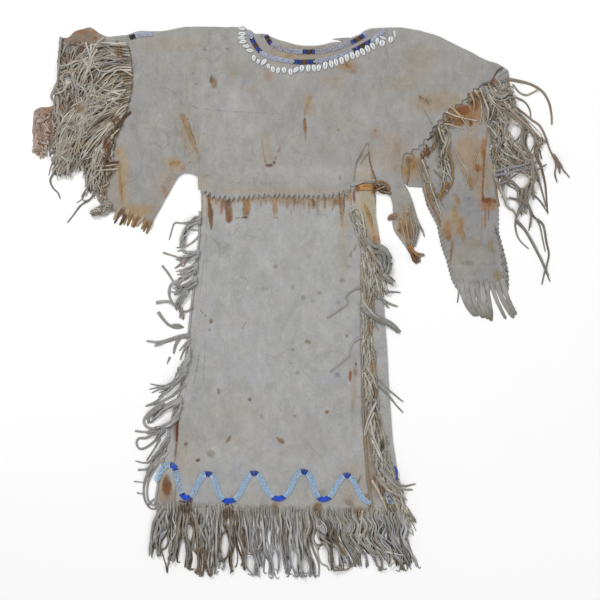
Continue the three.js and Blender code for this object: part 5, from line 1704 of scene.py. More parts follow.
SLEEVE_RIGHT_FACE = [
    ([(446, 112), (456, 116), (468, 119), (478, 121)], 3.6, (196, 190, 174)),
    ([(449, 106), (458, 114), (466, 124), (471, 130)], 3.6, (190, 178, 150)),
    ([(452, 108), (462, 116), (470, 126)], 3.2, (182, 166, 132)),
    ([(444, 124), (454, 126), (464, 129)], 3.4, (184, 170, 146)),
    ([(470, 92), (474, 104), (473, 116)], 4, (176, 150, 118)),
    ([(474, 90), (480, 100), (482, 112), (480, 124)], 4.4, (180, 170, 150)),
    ([(480, 88), (484, 100), (488, 112), (486, 126)], 5, (172, 166, 152)),
    ([(486, 86), (490, 98), (497, 106), (505, 110)], 5, (178, 172, 158)),
    ([(488, 90), (494, 96), (502, 98), (508, 94)], 4.4, (150, 150, 144)),
    ([(486, 92), (490, 102), (498, 110), (504, 120)], 4.4, (166, 162, 150)),
    ([(436, 126), (437, 136), (440, 146), (443, 158), (443, 170)], 4, (96, 84, 66)),
    ([(438, 128), (442, 140), (447, 148), (444, 160)], 4.4, (176, 168, 150)),
    ([(441, 130), (446, 142), (441, 154), (442, 168), (446, 180)], 4.4, (166, 160, 144)),
    ([(445, 126), (450, 138), (446, 150), (448, 164)], 4.2, (150, 142, 124)),
    ([(434, 136), (438, 150), (441, 162)], 4, (134, 122, 104)),
    ([(447, 150), (451, 162), (453, 174), (452, 184), (446, 192), (439, 200)], 5.4, (140, 110, 66)),
    ([(448, 182), (443, 190), (438.5, 199)], 7, (150, 114, 66)),
    ([(444, 160), (448, 172), (453, 182)], 4.2, (168, 164, 154)),
    ([(434, 170), (442, 179), (449, 187)], 3.4, (136, 118, 88)),
    ([(420, 158), (425, 172), (431, 186), (438, 197), (444, 207)], 3.6, (140, 128, 104)),
    ([(416, 160), (423, 178), (428, 192), (434, 206)], 4.4, (156, 146, 124)),
    ([(422, 160), (428, 176), (432, 190), (438, 206), (442, 216)], 4, (176, 168, 150)),
    ([(424, 182), (427, 198), (432, 210), (438, 218)], 5, (148, 138, 120)),
    ([(426, 186), (431, 202), (436, 213), (440, 226)], 4.6, (150, 112, 82)),
    ([(412, 152), (418, 166), (424, 182)], 4, (160, 136, 100)),
    ([(407, 158), (409, 172), (407, 186)], 3.4, (120, 104, 84)),
    ([(455, 150), (461, 162), (468, 172), (466, 186)], 4.4, (168, 160, 140)),
    ([(462, 170), (468, 180), (471, 190)], 3.6, (164, 134, 100)),
    ([(478, 150), (474, 164), (477, 178), (470, 190)], 3.8, (168, 150, 122)),
    ([(488, 84), (492, 92), (499, 96.5), (506, 95), (510.5, 89)], 4.8, (154, 151, 142)),
    ([(486, 89), (491, 98), (500, 101.5), (509, 98)], 4.4, (168, 164, 152)),
    ([(493, 82), (497, 88), (503, 90.5), (509, 86)], 4.4, (142, 139, 130)),
    ([(490, 84), (494, 96), (498, 110)], 4.4, (126, 120, 108)),
    ([(482, 84), (488, 83), (494, 84.6)], 3.4, (110, 104, 94)),
    ([(397, 215), (393, 215.6), (389.6, 217), (387.4, 219.4)], 10, (144, 120, 102)),
    ([(396, 218), (392, 219), (388.4, 220.6)], 6, (138, 114, 98)),
    ([(416.5, 221), (420, 226), (422.8, 231), (424.6, 237)], 6, (148, 142, 130)),
    ([(412, 204), (414, 216), (417, 228), (415, 240), (411.4, 250)], 5, (150, 144, 132)),
    ([(409, 206), (411, 220), (414, 234), (411.6, 246)], 4.6, (160, 150, 134)),
    ([(405, 214), (407, 228), (409, 240), (410.4, 250)], 4.6, (158, 136, 108)),
    ([(414, 212), (418, 222), (419, 232), (415.6, 244)], 4.8, (140, 136, 126)),
    ([(400, 218), (403, 230), (406, 242)], 4, (166, 144, 118)),
    ([(411, 244), (413, 250), (418, 253.4), (424.6, 254.8)], 5, (150, 112, 70)),
    ([(409, 246), (412, 255), (415.8, 262.4)], 7, (142, 104, 60)),
    ([(411.6, 250), (416.5, 255), (420.6, 257.6)], 5, (166, 130, 86)),
    ([(410.6, 252), (414, 259), (419.6, 261.4)], 5, (116, 80, 44)),
]

sleeve_right = Fringe(103)
sleeve_right.strip(spline(CUFF_EDGE_RIGHT), GAP, 2.0, (140, 122, 98))
GAPS_SLEEVE_RIGHT = [
    (513.8, 131.3, 7.4, 9), (506.9, 134.6, 3.2, 3.6), (529, 141.4, 5.6, 10), (538.6, 140, 3.2, 3.2),
    (537.8, 166, 3.6, 3.2), (518.4, 179.6, 10.8, 7.6), (510.2, 192, 7.4, 9), (537.6, 187.4, 4.4, 5.8),
    (511, 203.4, 5.2, 4.8), (517.2, 209, 2.8, 6), (532.4, 207.6, 6.2, 13), (524.8, 222.5, 4.6, 7.2),
    (543, 198, 2.2, 4), (522, 107.6, 7.4, 5.4)]
sleeve_right.holes = GAPS_SLEEVE_RIGHT
sleeve_right.between(SLEEVE_RIGHT_GUIDES, [8, 8, 7, 6, 6, 6], wide=4.8, colors=MIXED, wave=7, spread=5, cap=8)
sleeve_right.between(SLEEVE_RIGHT_WEB, [4, 4, 4], wide=5.4, colors=ASH, wave=6, spread=5, cap=8)
for band, half, count, length, turn in [
        ([(492, 84), (499, 98), (504, 116), (506, 140)], 9, 80, 56, 22),
        ([(504, 112), (512, 128), (520, 148), (526, 168)], 9, 40, 66, 14),
        ([(496, 142), (506, 158), (516, 168), (528, 172)], 8, 36, 56, 18),
        ([(498, 166), (502, 184), (506, 200)], 4, 22, 60, 10),
        ([(526, 150), (532, 168), (535, 190)], 4, 20, 60, 12)]:
    sleeve_right.tangle(band, half, count, length, 4.2, MIXED, turn=turn, wave=6, cap=9)
sleeve_right.tangle([(492, 84), (499, 90), (508, 90)], 6, 44, 30, 4.2, ASH + EARTH[:2], turn=26, wave=12,
                    cap=9)
sleeve_right.holes = []
strands(sleeve_right, SLEEVE_RIGHT_SINGLE, twist=0.3)
DIAGONAL_COLORS = [(104, 88, 66), (168, 158, 138), (140, 112, 70), (126, 116, 98), (86, 70, 50)]
for band, half, count, length, colors in [
        ([(486, 90), (490, 110), (494, 132), (496, 158)], 6.5, 60, 52, MIXED),
        ([(482, 91), (476, 96), (470, 100)], 4.5, 26, 16, DIAGONAL_COLORS),
        ([(453, 116), (446, 124), (436, 137), (424, 156)], 5.2, 64, 18, DIAGONAL_COLORS),
        ([(440, 128), (443, 150), (444, 172), (441, 198)], 6, 36, 46, MIXED),
        ([(422, 158), (428, 178), (434, 200), (442, 218)], 4, 20, 46, EARTH)]:
    sleeve_right.tangle(band, half, count, length, 3.4, colors, turn=26, wave=11)
strands(sleeve_right, SLEEVE_RIGHT_FACE, twist=0.3)
MARKS_SLEEVE_RIGHT = [
    (480, 98, 4, 6, 0, (168, 112, 66), 0.7),
    (463, 112, 6, 4, 30, (140, 84, 42), 0.6),
    (450, 118, 6, 4, 30, (150, 124, 70), 0.6),
    (428, 152, 5, 5, 0, (160, 108, 66), 0.6),
    (536, 150, 5, 12, 0, (132, 108, 88), 0.4),
    (547, 196, 3, 14, 0, (112, 82, 60), 0.5),
    (506, 128, 8, 12, 0, (150, 146, 136), 0.3),
    (448, 190, 5, 8, 20, (150, 110, 60), 0.5),
    (492, 84, 4, 4, 0, (130, 80, 50), 0.6),
    (500, 108, 6, 10, 0, (150, 132, 108), 0.4),
]
sleeve_right_strands = sleeve_right.piece("fringe_strands_sleeve_right", ["fringe_sleeve_right"],
                                          MARKS_SLEEVE_RIGHT)

leg_right = Fringe(104)
leg_right.strip(spline(LEG_RIGHT_END), GAP, 1.7, (140, 138, 134))
LEG_RIGHT_STRIPS = [
    ([(462, 286), (464, 298), (470, 310), (476, 316)], 9),
    ([(467, 286), (469, 300), (474, 311), (478, 316)], 9),
    ([(472, 286), (474, 300), (479, 311), (484, 318)], 9),
    ([(477, 286), (480, 302), (485, 313), (489, 319)], 9),
    ([(482, 286), (484, 302), (489, 314), (492, 321)], 9),
    ([(487, 286), (489, 300), (491, 310), (492, 318)], 8),
    ([(492, 286), (496, 298), (501, 309), (506, 319)], 7),
    ([(498, 286), (502, 298), (508, 309), (514, 318)], 9),
    ([(504, 286), (507, 296), (511, 306), (516, 315)], 9),
    ([(459, 288), (458.5, 296), (457.5, 303)], 3.4),
]
for path, wide in LEG_RIGHT_STRIPS:
    path = [(path[0][0] - 1.4, path[0][1] - leg_right.rng.uniform(3, 10))] + path
    leg_right.strand(in_mm(path), wide * 1.3, 1.8, (160, 159, 157), (128, 124, 115), twist=0.06,
                     taper=0.75, sink=1.4, root_color=LEG_TONE)
leg_right_strands = leg_right.piece("fringe_strands_leg_right", ["fringe_leg_right"])

# Left side of the skirt
SIDE_LEFT_CLUMPS = [
    ([[(201, 217), (194, 219), (187, 224), (182, 234), (180, 246)], [(201, 223), (195, 224), (189, 228),
     (185, 236), (182, 247)]], [9]),
    ([[(200, 250), (192, 252), (184, 252), (176, 249)], [(199, 256), (191, 260), (184, 262), (178, 266)]],
     [10]),
    ([[(198, 262), (190, 266), (184, 268), (177, 268)], [(198, 270), (190, 276), (182, 283), (175, 287)]],
     [8]),
    ([[(197, 276), (188, 282), (179, 286), (171, 288)], [(197, 284), (188, 290), (180, 294), (172, 298)]],
     [10]),
    ([[(186, 290), (180, 296), (176, 302), (177, 310)], [(190, 292), (184, 300), (181, 308), (183, 318)]],
     [6]),
    ([[(190, 346), (188, 354), (184, 364), (178, 374)], [(190, 358), (186, 366), (180, 376), (171, 384)]],
     [11]),
    ([[(188, 366), (181, 374), (173, 382), (164, 386)], [(186, 376), (178, 384), (168, 394), (158, 401)]],
     [9]),
    ([[(182, 396), (170, 402), (158, 408), (147, 416)], [(182, 402), (172, 407), (162, 414), (150, 424)]],
     [9]),
    ([[(180, 412), (170, 421), (158, 427), (147, 429)], [(178, 420), (168, 427), (158, 434), (148, 444)]],
     [8]),
    ([[(170, 434), (162, 444), (152, 458), (146, 476)], [(168, 442), (160, 450), (151, 464), (145, 484)]],
     [6]),
]
SIDE_LEFT_SINGLE = [
    ([(202, 217), (195, 217.5), (190, 222), (181, 223), (174.5, 223), (171.5, 231), (169, 240)],
     4.4, (140, 138, 136)),
    ([(200, 230), (194, 230), (188, 230)], 3.4, (134, 132, 130)),
    ([(201, 234), (194, 241), (185, 246.5), (176, 247.5)], 4.4, (136, 134, 132)),
    ([(163, 252.5), (171, 255), (178, 257.5), (186, 263)], 3.6, (140, 128, 120)),
    ([(186, 258), (181, 264), (174.5, 268.5)], 6, (136, 124, 118)),
    ([(162, 265.5), (168, 273), (173, 281), (178, 288)], 4.8, (134, 132, 128)),
    ([(197, 270), (190, 275), (184, 279)], 4, (130, 130, 130)),
    ([(180, 280), (171, 285), (169, 294), (172, 302), (178, 308)], 6, (136, 134, 134)),
    ([(156, 303), (163, 301.5), (171, 302), (177, 306)], 6.6, (140, 138, 136)),
    ([(188, 290), (182, 298), (179, 307)], 6, (134, 134, 132)),
    ([(193, 307), (188, 311), (182, 311), (176, 305)], 4.4, (130, 130, 130)),
    ([(181, 309), (183, 314), (183, 320)], 6.6, (132, 126, 118)),
    ([(158, 312), (163, 319), (169, 325), (176, 328), (184, 327)], 6.4, (140, 138, 132)),
    ([(172, 326), (178, 325), (183, 327)], 7, (136, 132, 126)),
    ([(190, 335), (181, 336), (171, 339), (159, 342), (146, 341)], 7, (142, 140, 140)),
    ([(189, 337), (178, 338), (166, 342), (154, 346)], 6.4, (136, 135, 134)),
    ([(180, 337), (176, 344), (173.5, 354)], 7.6, (134, 133, 132)),
    ([(191, 338), (185, 344), (179, 351)], 4.6, (140, 138, 136)),
    ([(190, 342), (184, 350), (180, 360)], 5, (134, 132, 130)),
    ([(170, 357), (168.6, 360), (167, 364)], 4, (128, 126, 122)),
    ([(176, 383), (163, 386), (150, 384)], 4.6, (136, 134, 134)),
    ([(174, 385), (160, 387), (149, 389.5)], 4.2, (130, 129, 128)),
    ([(170, 386), (160, 389), (151.5, 393)], 4.6, (138, 137, 136)),
    ([(184, 374), (171, 388), (158, 400), (145, 406.5)], 5, (134, 134, 132)),
    ([(186, 384), (172, 396), (160, 402), (146, 406.5)], 5.4, (140, 138, 136)),
    ([(164, 402), (152, 411), (144, 420), (147, 427), (156, 429)], 8, (140, 139, 138)),
    ([(162, 406), (150, 415), (148, 424)], 8, (134, 133, 132)),
    ([(182, 404), (176, 416), (165, 425), (153, 428)], 6, (142, 139, 134)),
    ([(135, 431), (145, 432), (158, 431), (170, 428)], 4.2, (132, 130, 128)),
    ([(137, 416), (140, 418.5)], 3.2, (150, 146, 140)),
    ([(166, 430), (154, 434), (146, 438), (139, 438.5), (136.5, 443), (139, 448.5), (145, 448), (155, 441),
     (166, 431)], 5.4, (128, 126, 122)),
    ([(168, 436), (161, 447), (152, 459), (145, 463), (135, 461)], 5, (134, 133, 130)),
    ([(160, 438), (154, 449), (146, 461)], 4, (138, 136, 134)),
    ([(138, 470), (146, 469), (154, 462)], 4.4, (136, 134, 130)),
    ([(134, 481.5), (144, 482.5)], 3, (140, 136, 132)),
    ([(137, 493), (145, 494.5)], 3, (140, 136, 132)),
    ([(166, 448), (154, 464), (146, 478), (143.5, 492), (146, 503), (152, 509), (163, 507)],
     6, (134, 132, 128)),
    ([(168, 452), (157, 466), (149, 480), (147, 493), (149, 502), (155, 506), (164, 504)],
     5, (144, 142, 138)),
    ([(148, 505), (153, 500), (157, 497)], 4, (128, 126, 120)),
]

side_left = Fringe(105)
side_left.strip(seam_path(0, -SEAM_INSET), GAP, 2.0, (163, 163, 162))
for guides, counts in SIDE_LEFT_CLUMPS:
    side_left.between(guides, counts, wide=5.2, colors=[(160, 159, 158), (146, 145, 144), (170, 169, 168)],
                      wave=4, spread=4, cap=9, twist=0.2, root_color=(160, 160, 159))
strands(side_left, [(path, wide, np.array(color) + 12) for path, wide, color in SIDE_LEFT_SINGLE], 1.15,
        twist=0.16)
side_left_strands = side_left.piece("fringe_strands_side_left", ["fringe_side_left"])

# Right side of the skirt
SIDE_RIGHT_GUIDES = [
    [(352, 210), (357, 216), (361, 228), (364, 242), (369, 254)],
    [(357, 220), (360, 232), (364, 246), (371, 258), (379, 270)],
    [(360, 236), (363, 250), (367, 264), (373, 278), (379, 290)],
    [(362, 252), (364, 268), (366, 284), (369, 300), (374, 312)],
    [(361, 274), (363, 290), (367, 306), (372, 320), (378, 332)],
    [(362, 296), (364, 312), (366, 328), (370, 344), (374, 358)],
    [(362, 318), (364, 334), (366, 350), (370, 366), (375, 380)],
    [(362, 340), (364, 356), (367, 372), (371, 388), (377, 402)],
    [(362, 362), (364, 378), (367, 394), (372, 412), (378, 428)],
    [(363, 384), (366, 400), (369, 416), (374, 434), (382, 450)],
    [(364, 404), (367, 422), (372, 440), (380, 458), (390, 474)],
    [(367, 424), (371, 442), (378, 460), (388, 476), (398, 488)],
    [(370, 440), (375, 458), (383, 476), (393, 492), (402, 506)],
    [(373, 460), (377, 476), (384, 494), (390, 510), (396, 524)],
]
SIDE_RIGHT_SINGLE = [
    ([(350, 212), (356, 208), (361, 212), (364, 226), (366, 240)], 4, (168, 168, 158)),
    ([(366, 238), (374, 246), (383, 248), (388, 254), (389, 264), (386, 273)], 6.4, (148, 148, 144)),
    ([(366, 243), (374, 252), (381, 253), (385, 260), (385, 270)], 6.4, (138, 138, 134)),
    ([(368, 246), (375, 258), (380, 264), (383, 272)], 6.4, (152, 150, 146)),
    ([(378, 248), (385, 248), (389.5, 256), (389, 268)], 5, (130, 130, 126)),
    ([(383, 274), (389, 279), (393, 284)], 7.6, (150, 148, 142)),
    ([(384, 276), (388, 282), (391, 284)], 5, (120, 116, 108)),
    ([(385, 292.5), (393, 292), (401, 292.5)], 5, (134, 134, 136)),
    ([(383, 300), (390, 304), (398, 306.5)], 5.6, (140, 140, 136)),
    ([(384, 302), (387, 306), (389.5, 308.5)], 4.4, (146, 146, 142)),
    ([(361, 305), (370, 313), (383, 319), (393, 324), (401, 332)], 7, (156, 154, 148)),
    ([(362, 309), (372, 317), (384, 322), (393, 328), (400, 333)], 7, (142, 141, 136)),
    ([(364, 303), (372, 313), (382, 321), (392, 325)], 4.4, (172, 170, 162)),
    ([(366, 311), (378, 320), (390, 326), (398, 333)], 6, (130, 130, 124)),
    ([(384, 334), (386.5, 340)], 4, (150, 148, 144)),
    ([(361, 287), (352, 291), (346, 297), (348, 303), (338, 311), (327, 318)], 3.6, (156, 153, 146)),
    ([(362, 337), (354, 341), (350, 349), (349, 356), (341, 363), (330, 372)], 3.6, (154, 151, 144)),
    ([(379, 380), (388, 389), (396, 396), (403.5, 402)], 4.4, (140, 138, 134)),
    ([(379, 386), (389, 396), (396, 405), (403.5, 413)], 4, (136, 134, 130)),
    ([(364, 372), (370, 384), (374, 396)], 4, (188, 184, 172)),
    ([(366, 366), (373, 378), (377, 390)], 4.2, (184, 180, 168)),
    ([(376, 402), (370, 414), (366, 426), (364, 438)], 4.2, (188, 185, 176)),
    ([(374, 412), (369, 424), (365, 436)], 4.2, (178, 174, 164)),
    ([(370, 420), (374, 438), (380, 452), (383, 462)], 4.2, (186, 182, 172)),
    ([(372, 440), (378, 452), (383, 462)], 4, (190, 186, 176)),
    ([(377, 420), (381, 434), (382, 446)], 4, (170, 166, 154)),
    ([(384, 470), (394, 480), (404, 486), (416, 484)], 5.4, (134, 130, 122)),
    ([(380, 468), (392, 482), (403, 489), (413, 490)], 6.4, (146, 146, 142)),
    ([(376, 476), (386, 488), (396, 494), (404, 498)], 5.4, (172, 168, 158)),
    ([(372, 480), (380, 494), (386, 508), (390, 518)], 5, (182, 176, 162)),
    ([(366, 494), (370, 508), (372, 522)], 5, (150, 128, 98)),
    ([(410, 514), (414, 518), (416, 523)], 4.4, (128, 124, 116)),
]

side_right = Fringe(106)
side_right.strip(seam_path(2, SEAM_INSET), FLAP_UNDER, 1.2, (140, 130, 112))
SIDE_COLORS = [
    (174, 172, 163), (160, 158, 150), (146, 142, 132), (162, 150, 130), (182, 180, 172), (128, 120, 106)]
side_right.between(SIDE_RIGHT_GUIDES, [5] * 13, wide=3.8, thick=1.1, colors=SIDE_COLORS, wave=5, spread=5,
                   cap=5)
for band, half, count, length, turn in [
        ([(353, 212), (359, 224), (365, 242), (370, 262)], 5.5, 40, 66, 10),
        ([(368, 256), (369, 276), (367.6, 300), (367.6, 334)], 6.5, 60, 92, 8),
        ([(365, 242), (371, 256), (376, 272), (380, 292)], 7.5, 64, 64, 10),
        ([(367.6, 318), (368, 340), (369, 365), (371, 396)], 6.5, 58, 96, 8),
        ([(370, 380), (372, 410), (376, 436), (381, 456)], 7.5, 60, 96, 8),
        ([(378, 436), (383, 460), (389, 480), (396, 504)], 9.5, 72, 92, 10),
        ([(384, 472), (392, 494), (399, 510), (405, 530)], 10.5, 60, 90, 10)]:
    side_right.tangle(band, half, count, length, 3.6, SIDE_COLORS, turn=turn, wave=5, cap=7, thick=1.1,
                      shades=0.12)
side_right.tangle([(375, 247), (383, 250), (387, 257), (387.6, 266), (386, 274)], 4.2, 40, 38, 4.2,
                  [(150, 150, 144), (138, 136, 130), (160, 158, 150)], turn=12, wave=7, cap=11, shades=0.14)
side_right.tangle([(384, 274), (389, 279), (393, 283)], 3, 18, 16, 3.8, [(148, 146, 140), (120, 116, 108)],
                  turn=8, wave=4)
KNOT = [
    ([(376, 184), (380, 188), (384, 190), (388, 192)], 7, (122, 92, 58)),
    ([(379, 190), (383, 186), (387, 188)], 6, (96, 74, 50)),
    ([(374, 186), (379, 182.4), (385, 183), (389.5, 188), (386, 193), (380, 192), (377, 188), (381, 185.6)],
     5.4, (128, 98, 62)),
    ([(373, 191), (379, 190), (386, 189), (391.5, 194)], 5.4, (104, 82, 56)),
    ([(372, 185), (378, 188), (384, 192), (390, 195)], 4.2, (70, 54, 40)),
    ([(375, 182), (381, 181), (387, 184), (390, 189)], 4.4, (158, 126, 84)),
    ([(377, 190), (382, 187.6), (386, 186)], 4, (176, 150, 112)),
    ([(383, 191), (387, 193), (391, 192)], 4, (150, 128, 100)),
]
strands(side_right, KNOT, twist=0.5)
strands(side_right, SIDE_RIGHT_SINGLE, 1.25, twist=0.2)
MARKS_SIDE_RIGHT = [
    (372, 258, 5, 10, 0, (164, 134, 96), 0.5),
    (368, 300, 3, 8, 0, (160, 124, 80), 0.65),
    (370, 328, 3, 8, 0, (150, 110, 70), 0.6),
    (374, 367, 4, 8, 0, (172, 134, 84), 0.65),
    (374, 392, 4, 8, 0, (140, 102, 66), 0.6),
    (381.6, 445, 2.6, 6, 0, (66, 50, 40), 0.85),
    (378, 425, 3, 10, 0, (118, 98, 74), 0.6),
    (382, 490, 3.5, 6, 0, (118, 76, 46), 0.75),
    (364, 480, 3, 10, 0, (150, 112, 76), 0.5),
    (390, 508, 6, 6, 0, (140, 116, 84), 0.5),
    (376, 515, 4, 8, 0, (120, 100, 76), 0.5),
    (376, 186, 5, 5, 0, (150, 104, 56), 0.5),
]
side_right_strands = side_right.piece("fringe_strands_side_right", ["fringe_side_right"], MARKS_SIDE_RIGHT)

# The hem
HEM_ROOTS = [(157, 506), (200, 508), (240, 509), (300, 510.5), (350, 511.5), (375, 512.5), (404, 514.5)]
# The tufts of the hem: u and v of the tip, half width of the tip
HEM_TUFTS = [
    (151, 557, 2), (158, 556, 2), (167, 573, 1.5), (175, 562, 2.5), (187, 570, 3), (196, 574, 3),
    (205, 577, 6), (213, 576, 4), (221, 569, 3), (231, 573, 2.5), (246, 571, 3.5), (256, 577, 5),
    (264, 576, 2.5), (275, 578, 6), (288, 577, 4), (296, 577, 3), (305, 577, 4), (315, 577, 4), (332, 571, 3),
    (341, 570, 3), (350, 567, 3), (358, 567, 3), (368, 571, 3), (375, 562, 2.5), (382, 570, 3), (390, 567, 3),
    (400, 571, 4), (408, 572, 5), (414, 568, 4)]
HEM_COLORS = [
    (176, 176, 174), (160, 160, 158), (142, 141, 138), (186, 187, 187), (152, 144, 130), (124, 108, 90),
    (166, 165, 162), (168, 171, 175)]

# u and reach of the stained stretches
HEM_STAINS = [(232, 12), (186, 10)]
HEM_STAIN_COLOR = (92, 72, 50)
# The tips of some tufts, from u to u, have a colour of their own
HEM_TIP_COLORS = [(192, 212, (112, 92, 70)), (246, 322, (158, 160, 164))]


def hang(fringe, count, seed, short, wide, colors, **options):
    """Strands from the hem, drawn together into tufts. Many end in a small hook."""
    rng = np.random.default_rng(seed)
    tufts = np.array(HEM_TUFTS)
    shares = np.concatenate([[0], np.cumsum(tufts[:, 2] + 2.2)])
    shares /= shares[-1]
    roots = np.array(HEM_ROOTS, float)
    first, last = roots[0, 0], roots[-1, 0]
    for share in rng.permutation((np.arange(count) + rng.uniform(0.1, 0.9, count)) / count):
        k = min(int(np.searchsorted(shares, share)) - 1, len(tufts) - 1)
        local = 2 * (share - shares[k]) / (shares[k + 1] - shares[k]) - 1
        drawn = np.mean(shares[k:k + 2]) + local * np.diff(shares[k:k + 2])[0] / 2
        u = first + (last - first) * (0.35 * share + 0.65 * drawn)
        root = np.array([u, np.interp(u, roots[:, 0], roots[:, 1])])
        tip = np.array([tufts[k, 0] + tufts[k, 2] * (0.7 * local + rng.uniform(-0.6, 0.6)), tufts[k, 1]])
        tip = root + (tip - root) * (1 - short * rng.random() ** 2)
        middle = root * 0.5 + tip * 0.5 + (0.35 * (root[0] - tip[0]) + rng.normal(0, 2.2), 0)
        upper = root * 0.75 + tip * 0.25 + (rng.normal(0, 0.8), 0)
        lower = root * 0.2 + tip * 0.8 + (rng.normal(0, 1.8), 0)
        path = [root - (0, rng.uniform(-2, 5.5)), root + (0, 5), upper, middle, lower, tip]
        if rng.random() < 0.45:
            path.append(tip + (rng.choice((-1, 1)) * rng.uniform(1.5, 4.5), rng.uniform(-3.0, 0.8)))
        color = np.array(colors[rng.integers(len(colors))])
        stained = sum(max(0, 1 - abs(root[0] - place) / reach) for place, reach in HEM_STAINS)
        color = color * (1 - 0.45 * stained) + np.array(HEM_STAIN_COLOR) * 0.45 * stained
        tip_color = 0.88 * color
        for left, right, stain in HEM_TIP_COLORS:
            if left < tip[0] < right:
                tip_color = stain
        fringe.strand(in_mm(path), wide * rng.uniform(0.75, 1.25), 1.7 * rng.uniform(0.85, 1.15),
                      color, tip_color, root_color=(157, 154, 148), taper=0.75, sink=1.1, **options)


hem = Fringe(107)
GAPS_HEM = [
    (164, 540, 3.2, 9), (183, 551, 3.6, 12), (190, 531, 4, 9), (195, 561, 3.6, 8), (225, 545, 4.6, 12),
    (234.5, 559, 3, 8), (250.5, 562, 4.6, 9), (266.6, 566, 2.6, 7), (275.6, 562, 3, 11), (294.4, 559, 3.8, 9),
    (306, 567, 4.8, 8), (322.4, 530, 3.8, 7), (324, 554, 4.4, 11), (336, 556, 3.2, 10), (348.6, 529, 3.6, 5),
    (363.4, 560, 2.8, 7), (371.5, 561, 2.6, 6), (379, 561, 2.6, 6), (393, 564, 3.2, 5)]
hem.holes = GAPS_HEM
hem_x = np.linspace(-318, 221, 60)
hem_line = np.column_stack([hem_x, tilted(hem_x, np.full(len(hem_x), HEM_Y)) - SEAM_INSET])
hem.strip(hem_line, GAP, 1.6, (120, 112, 100))
hem.strip(hem_line, FRONT_UNDER, 1.9, (163, 162, 160))
# The first layer, under the second: the back's strands, coloured darker to paint the shade in the gaps
# between the upper strands
hang(hem, 90, 201, 0.2, 5.0, [(122, 112, 98), (104, 92, 78), (140, 134, 124), (92, 78, 62)], cap=6)
hang(hem, 150, 202, 0.35, 4.6, HEM_COLORS, cap=9)
HEM_SINGLE = [
    ([(172, 512), (168, 530), (161, 544), (163, 556), (166, 566), (167, 573)], 5, (92, 84, 70)),
    ([(162, 508), (154, 522), (151, 538), (152, 558)], 7, (140, 138, 134)),
    ([(166, 510), (158, 524), (156, 540), (158, 557)], 7, (150, 148, 142)),
    ([(182, 510), (178, 530), (176, 548), (173, 563)], 6, (138, 136, 132)),
    ([(188, 510), (194, 526), (200, 540), (205, 556)], 4.6, (96, 78, 52)),
    ([(192, 511), (200, 528), (208, 545)], 4.2, (176, 174, 168)),
    ([(233, 552), (225, 558), (220, 562)], 4, (84, 72, 58)),
    ([(222, 570), (225, 566), (224.5, 563), (221, 563)], 4, (160, 164, 172)),
    ([(231, 560), (232, 568), (230, 574)], 5, (110, 100, 88)),
    ([(262, 548), (256, 552), (252, 554), (246, 553)], 3.4, (120, 112, 100)),
    ([(241, 566), (243, 560), (240, 558)], 3.4, (120, 112, 100)),
    ([(318, 530), (326, 536), (330, 541)], 4.6, (96, 90, 82)),
    ([(326, 542), (320, 546), (318, 551)], 4.2, (110, 104, 96)),
    ([(326, 520), (331, 540), (332, 560), (331, 571)], 6, (100, 92, 80)),
    ([(333, 570), (340, 570), (348, 569), (354, 562), (360, 552)], 5, (130, 122, 104)),
    ([(385, 551), (394, 553), (404, 555)], 4, (190, 186, 176)),
    ([(362, 510), (360, 530), (358, 545)], 5, (186, 176, 158)),
    ([(334, 528), (338, 545), (345, 555)], 5, (120, 92, 60)),
]
hem.holes = []
strands(hem, HEM_SINGLE, twist=0.25, cap=9)
MARKS_HEM = [
    (186, 508, 8, 6, 0, (84, 62, 44), 0.8),
    (228, 513, 7, 7, 0, (116, 88, 62), 0.8),
    (276, 510, 4, 6, 0, (140, 114, 84), 0.6),
    (318, 511, 5, 7, 0, (130, 104, 74), 0.65),
    (350, 507, 7, 6, 0, (138, 116, 96), 0.5),
    (358, 513, 5, 6, 0, (150, 116, 80), 0.6),
    (204, 556, 10, 18, 0, (116, 94, 70), 0.6),
    (232, 555, 3, 16, 0, (104, 86, 66), 0.55),
    (332, 545, 4, 22, 0, (104, 94, 80), 0.5),
    (404, 567, 7, 5, 0, (92, 72, 56), 0.6),
    (168, 560, 3, 16, 0, (96, 86, 70), 0.5),
    (283, 553, 3, 20, 0, (150, 140, 124), 0.4),
    (196, 520, 8, 10, 30, (110, 92, 70), 0.5),
    (312, 560, 4, 14, 0, (120, 108, 92), 0.4),
]
hem_strands = hem.piece("fringe_strands_hem", ["fringe_hem_back", "fringe_hem_front"], MARKS_HEM)

# ---- Beads ----
BEAD_RADIUS = 0.98
BEAD_RING = np.array([(math.cos(a), math.sin(a)) for a in np.arange(6) * math.pi / 3 + 0.3])
# A bead's rings: place along its axis, and radius
BEAD_STATIONS = [(-1, 0.62), (0, 1), (1, 0.62)]
BEAD_POINTS = len(BEAD_STATIONS) * len(BEAD_RING)


def bead_triangles():
    index = np.arange(BEAD_POINTS).reshape(len(BEAD_STATIONS), len(BEAD_RING))
    fan = np.array([[0, i, i + 1] for i in range(1, len(BEAD_RING) - 1)])
    return np.vstack([tube(index), index[0][fan[:, ::-1]], index[-1][fan]])


BEAD_FACES = bead_triangles()
SKY = (172, 202, 232)
PALE = (194, 214, 236)
NAVY = (20, 44, 128)
ROYAL = (0, 88, 226)
BLUE = (44, 78, 168)
PURPLE = (74, 40, 168)
BLACK = (28, 24, 30)


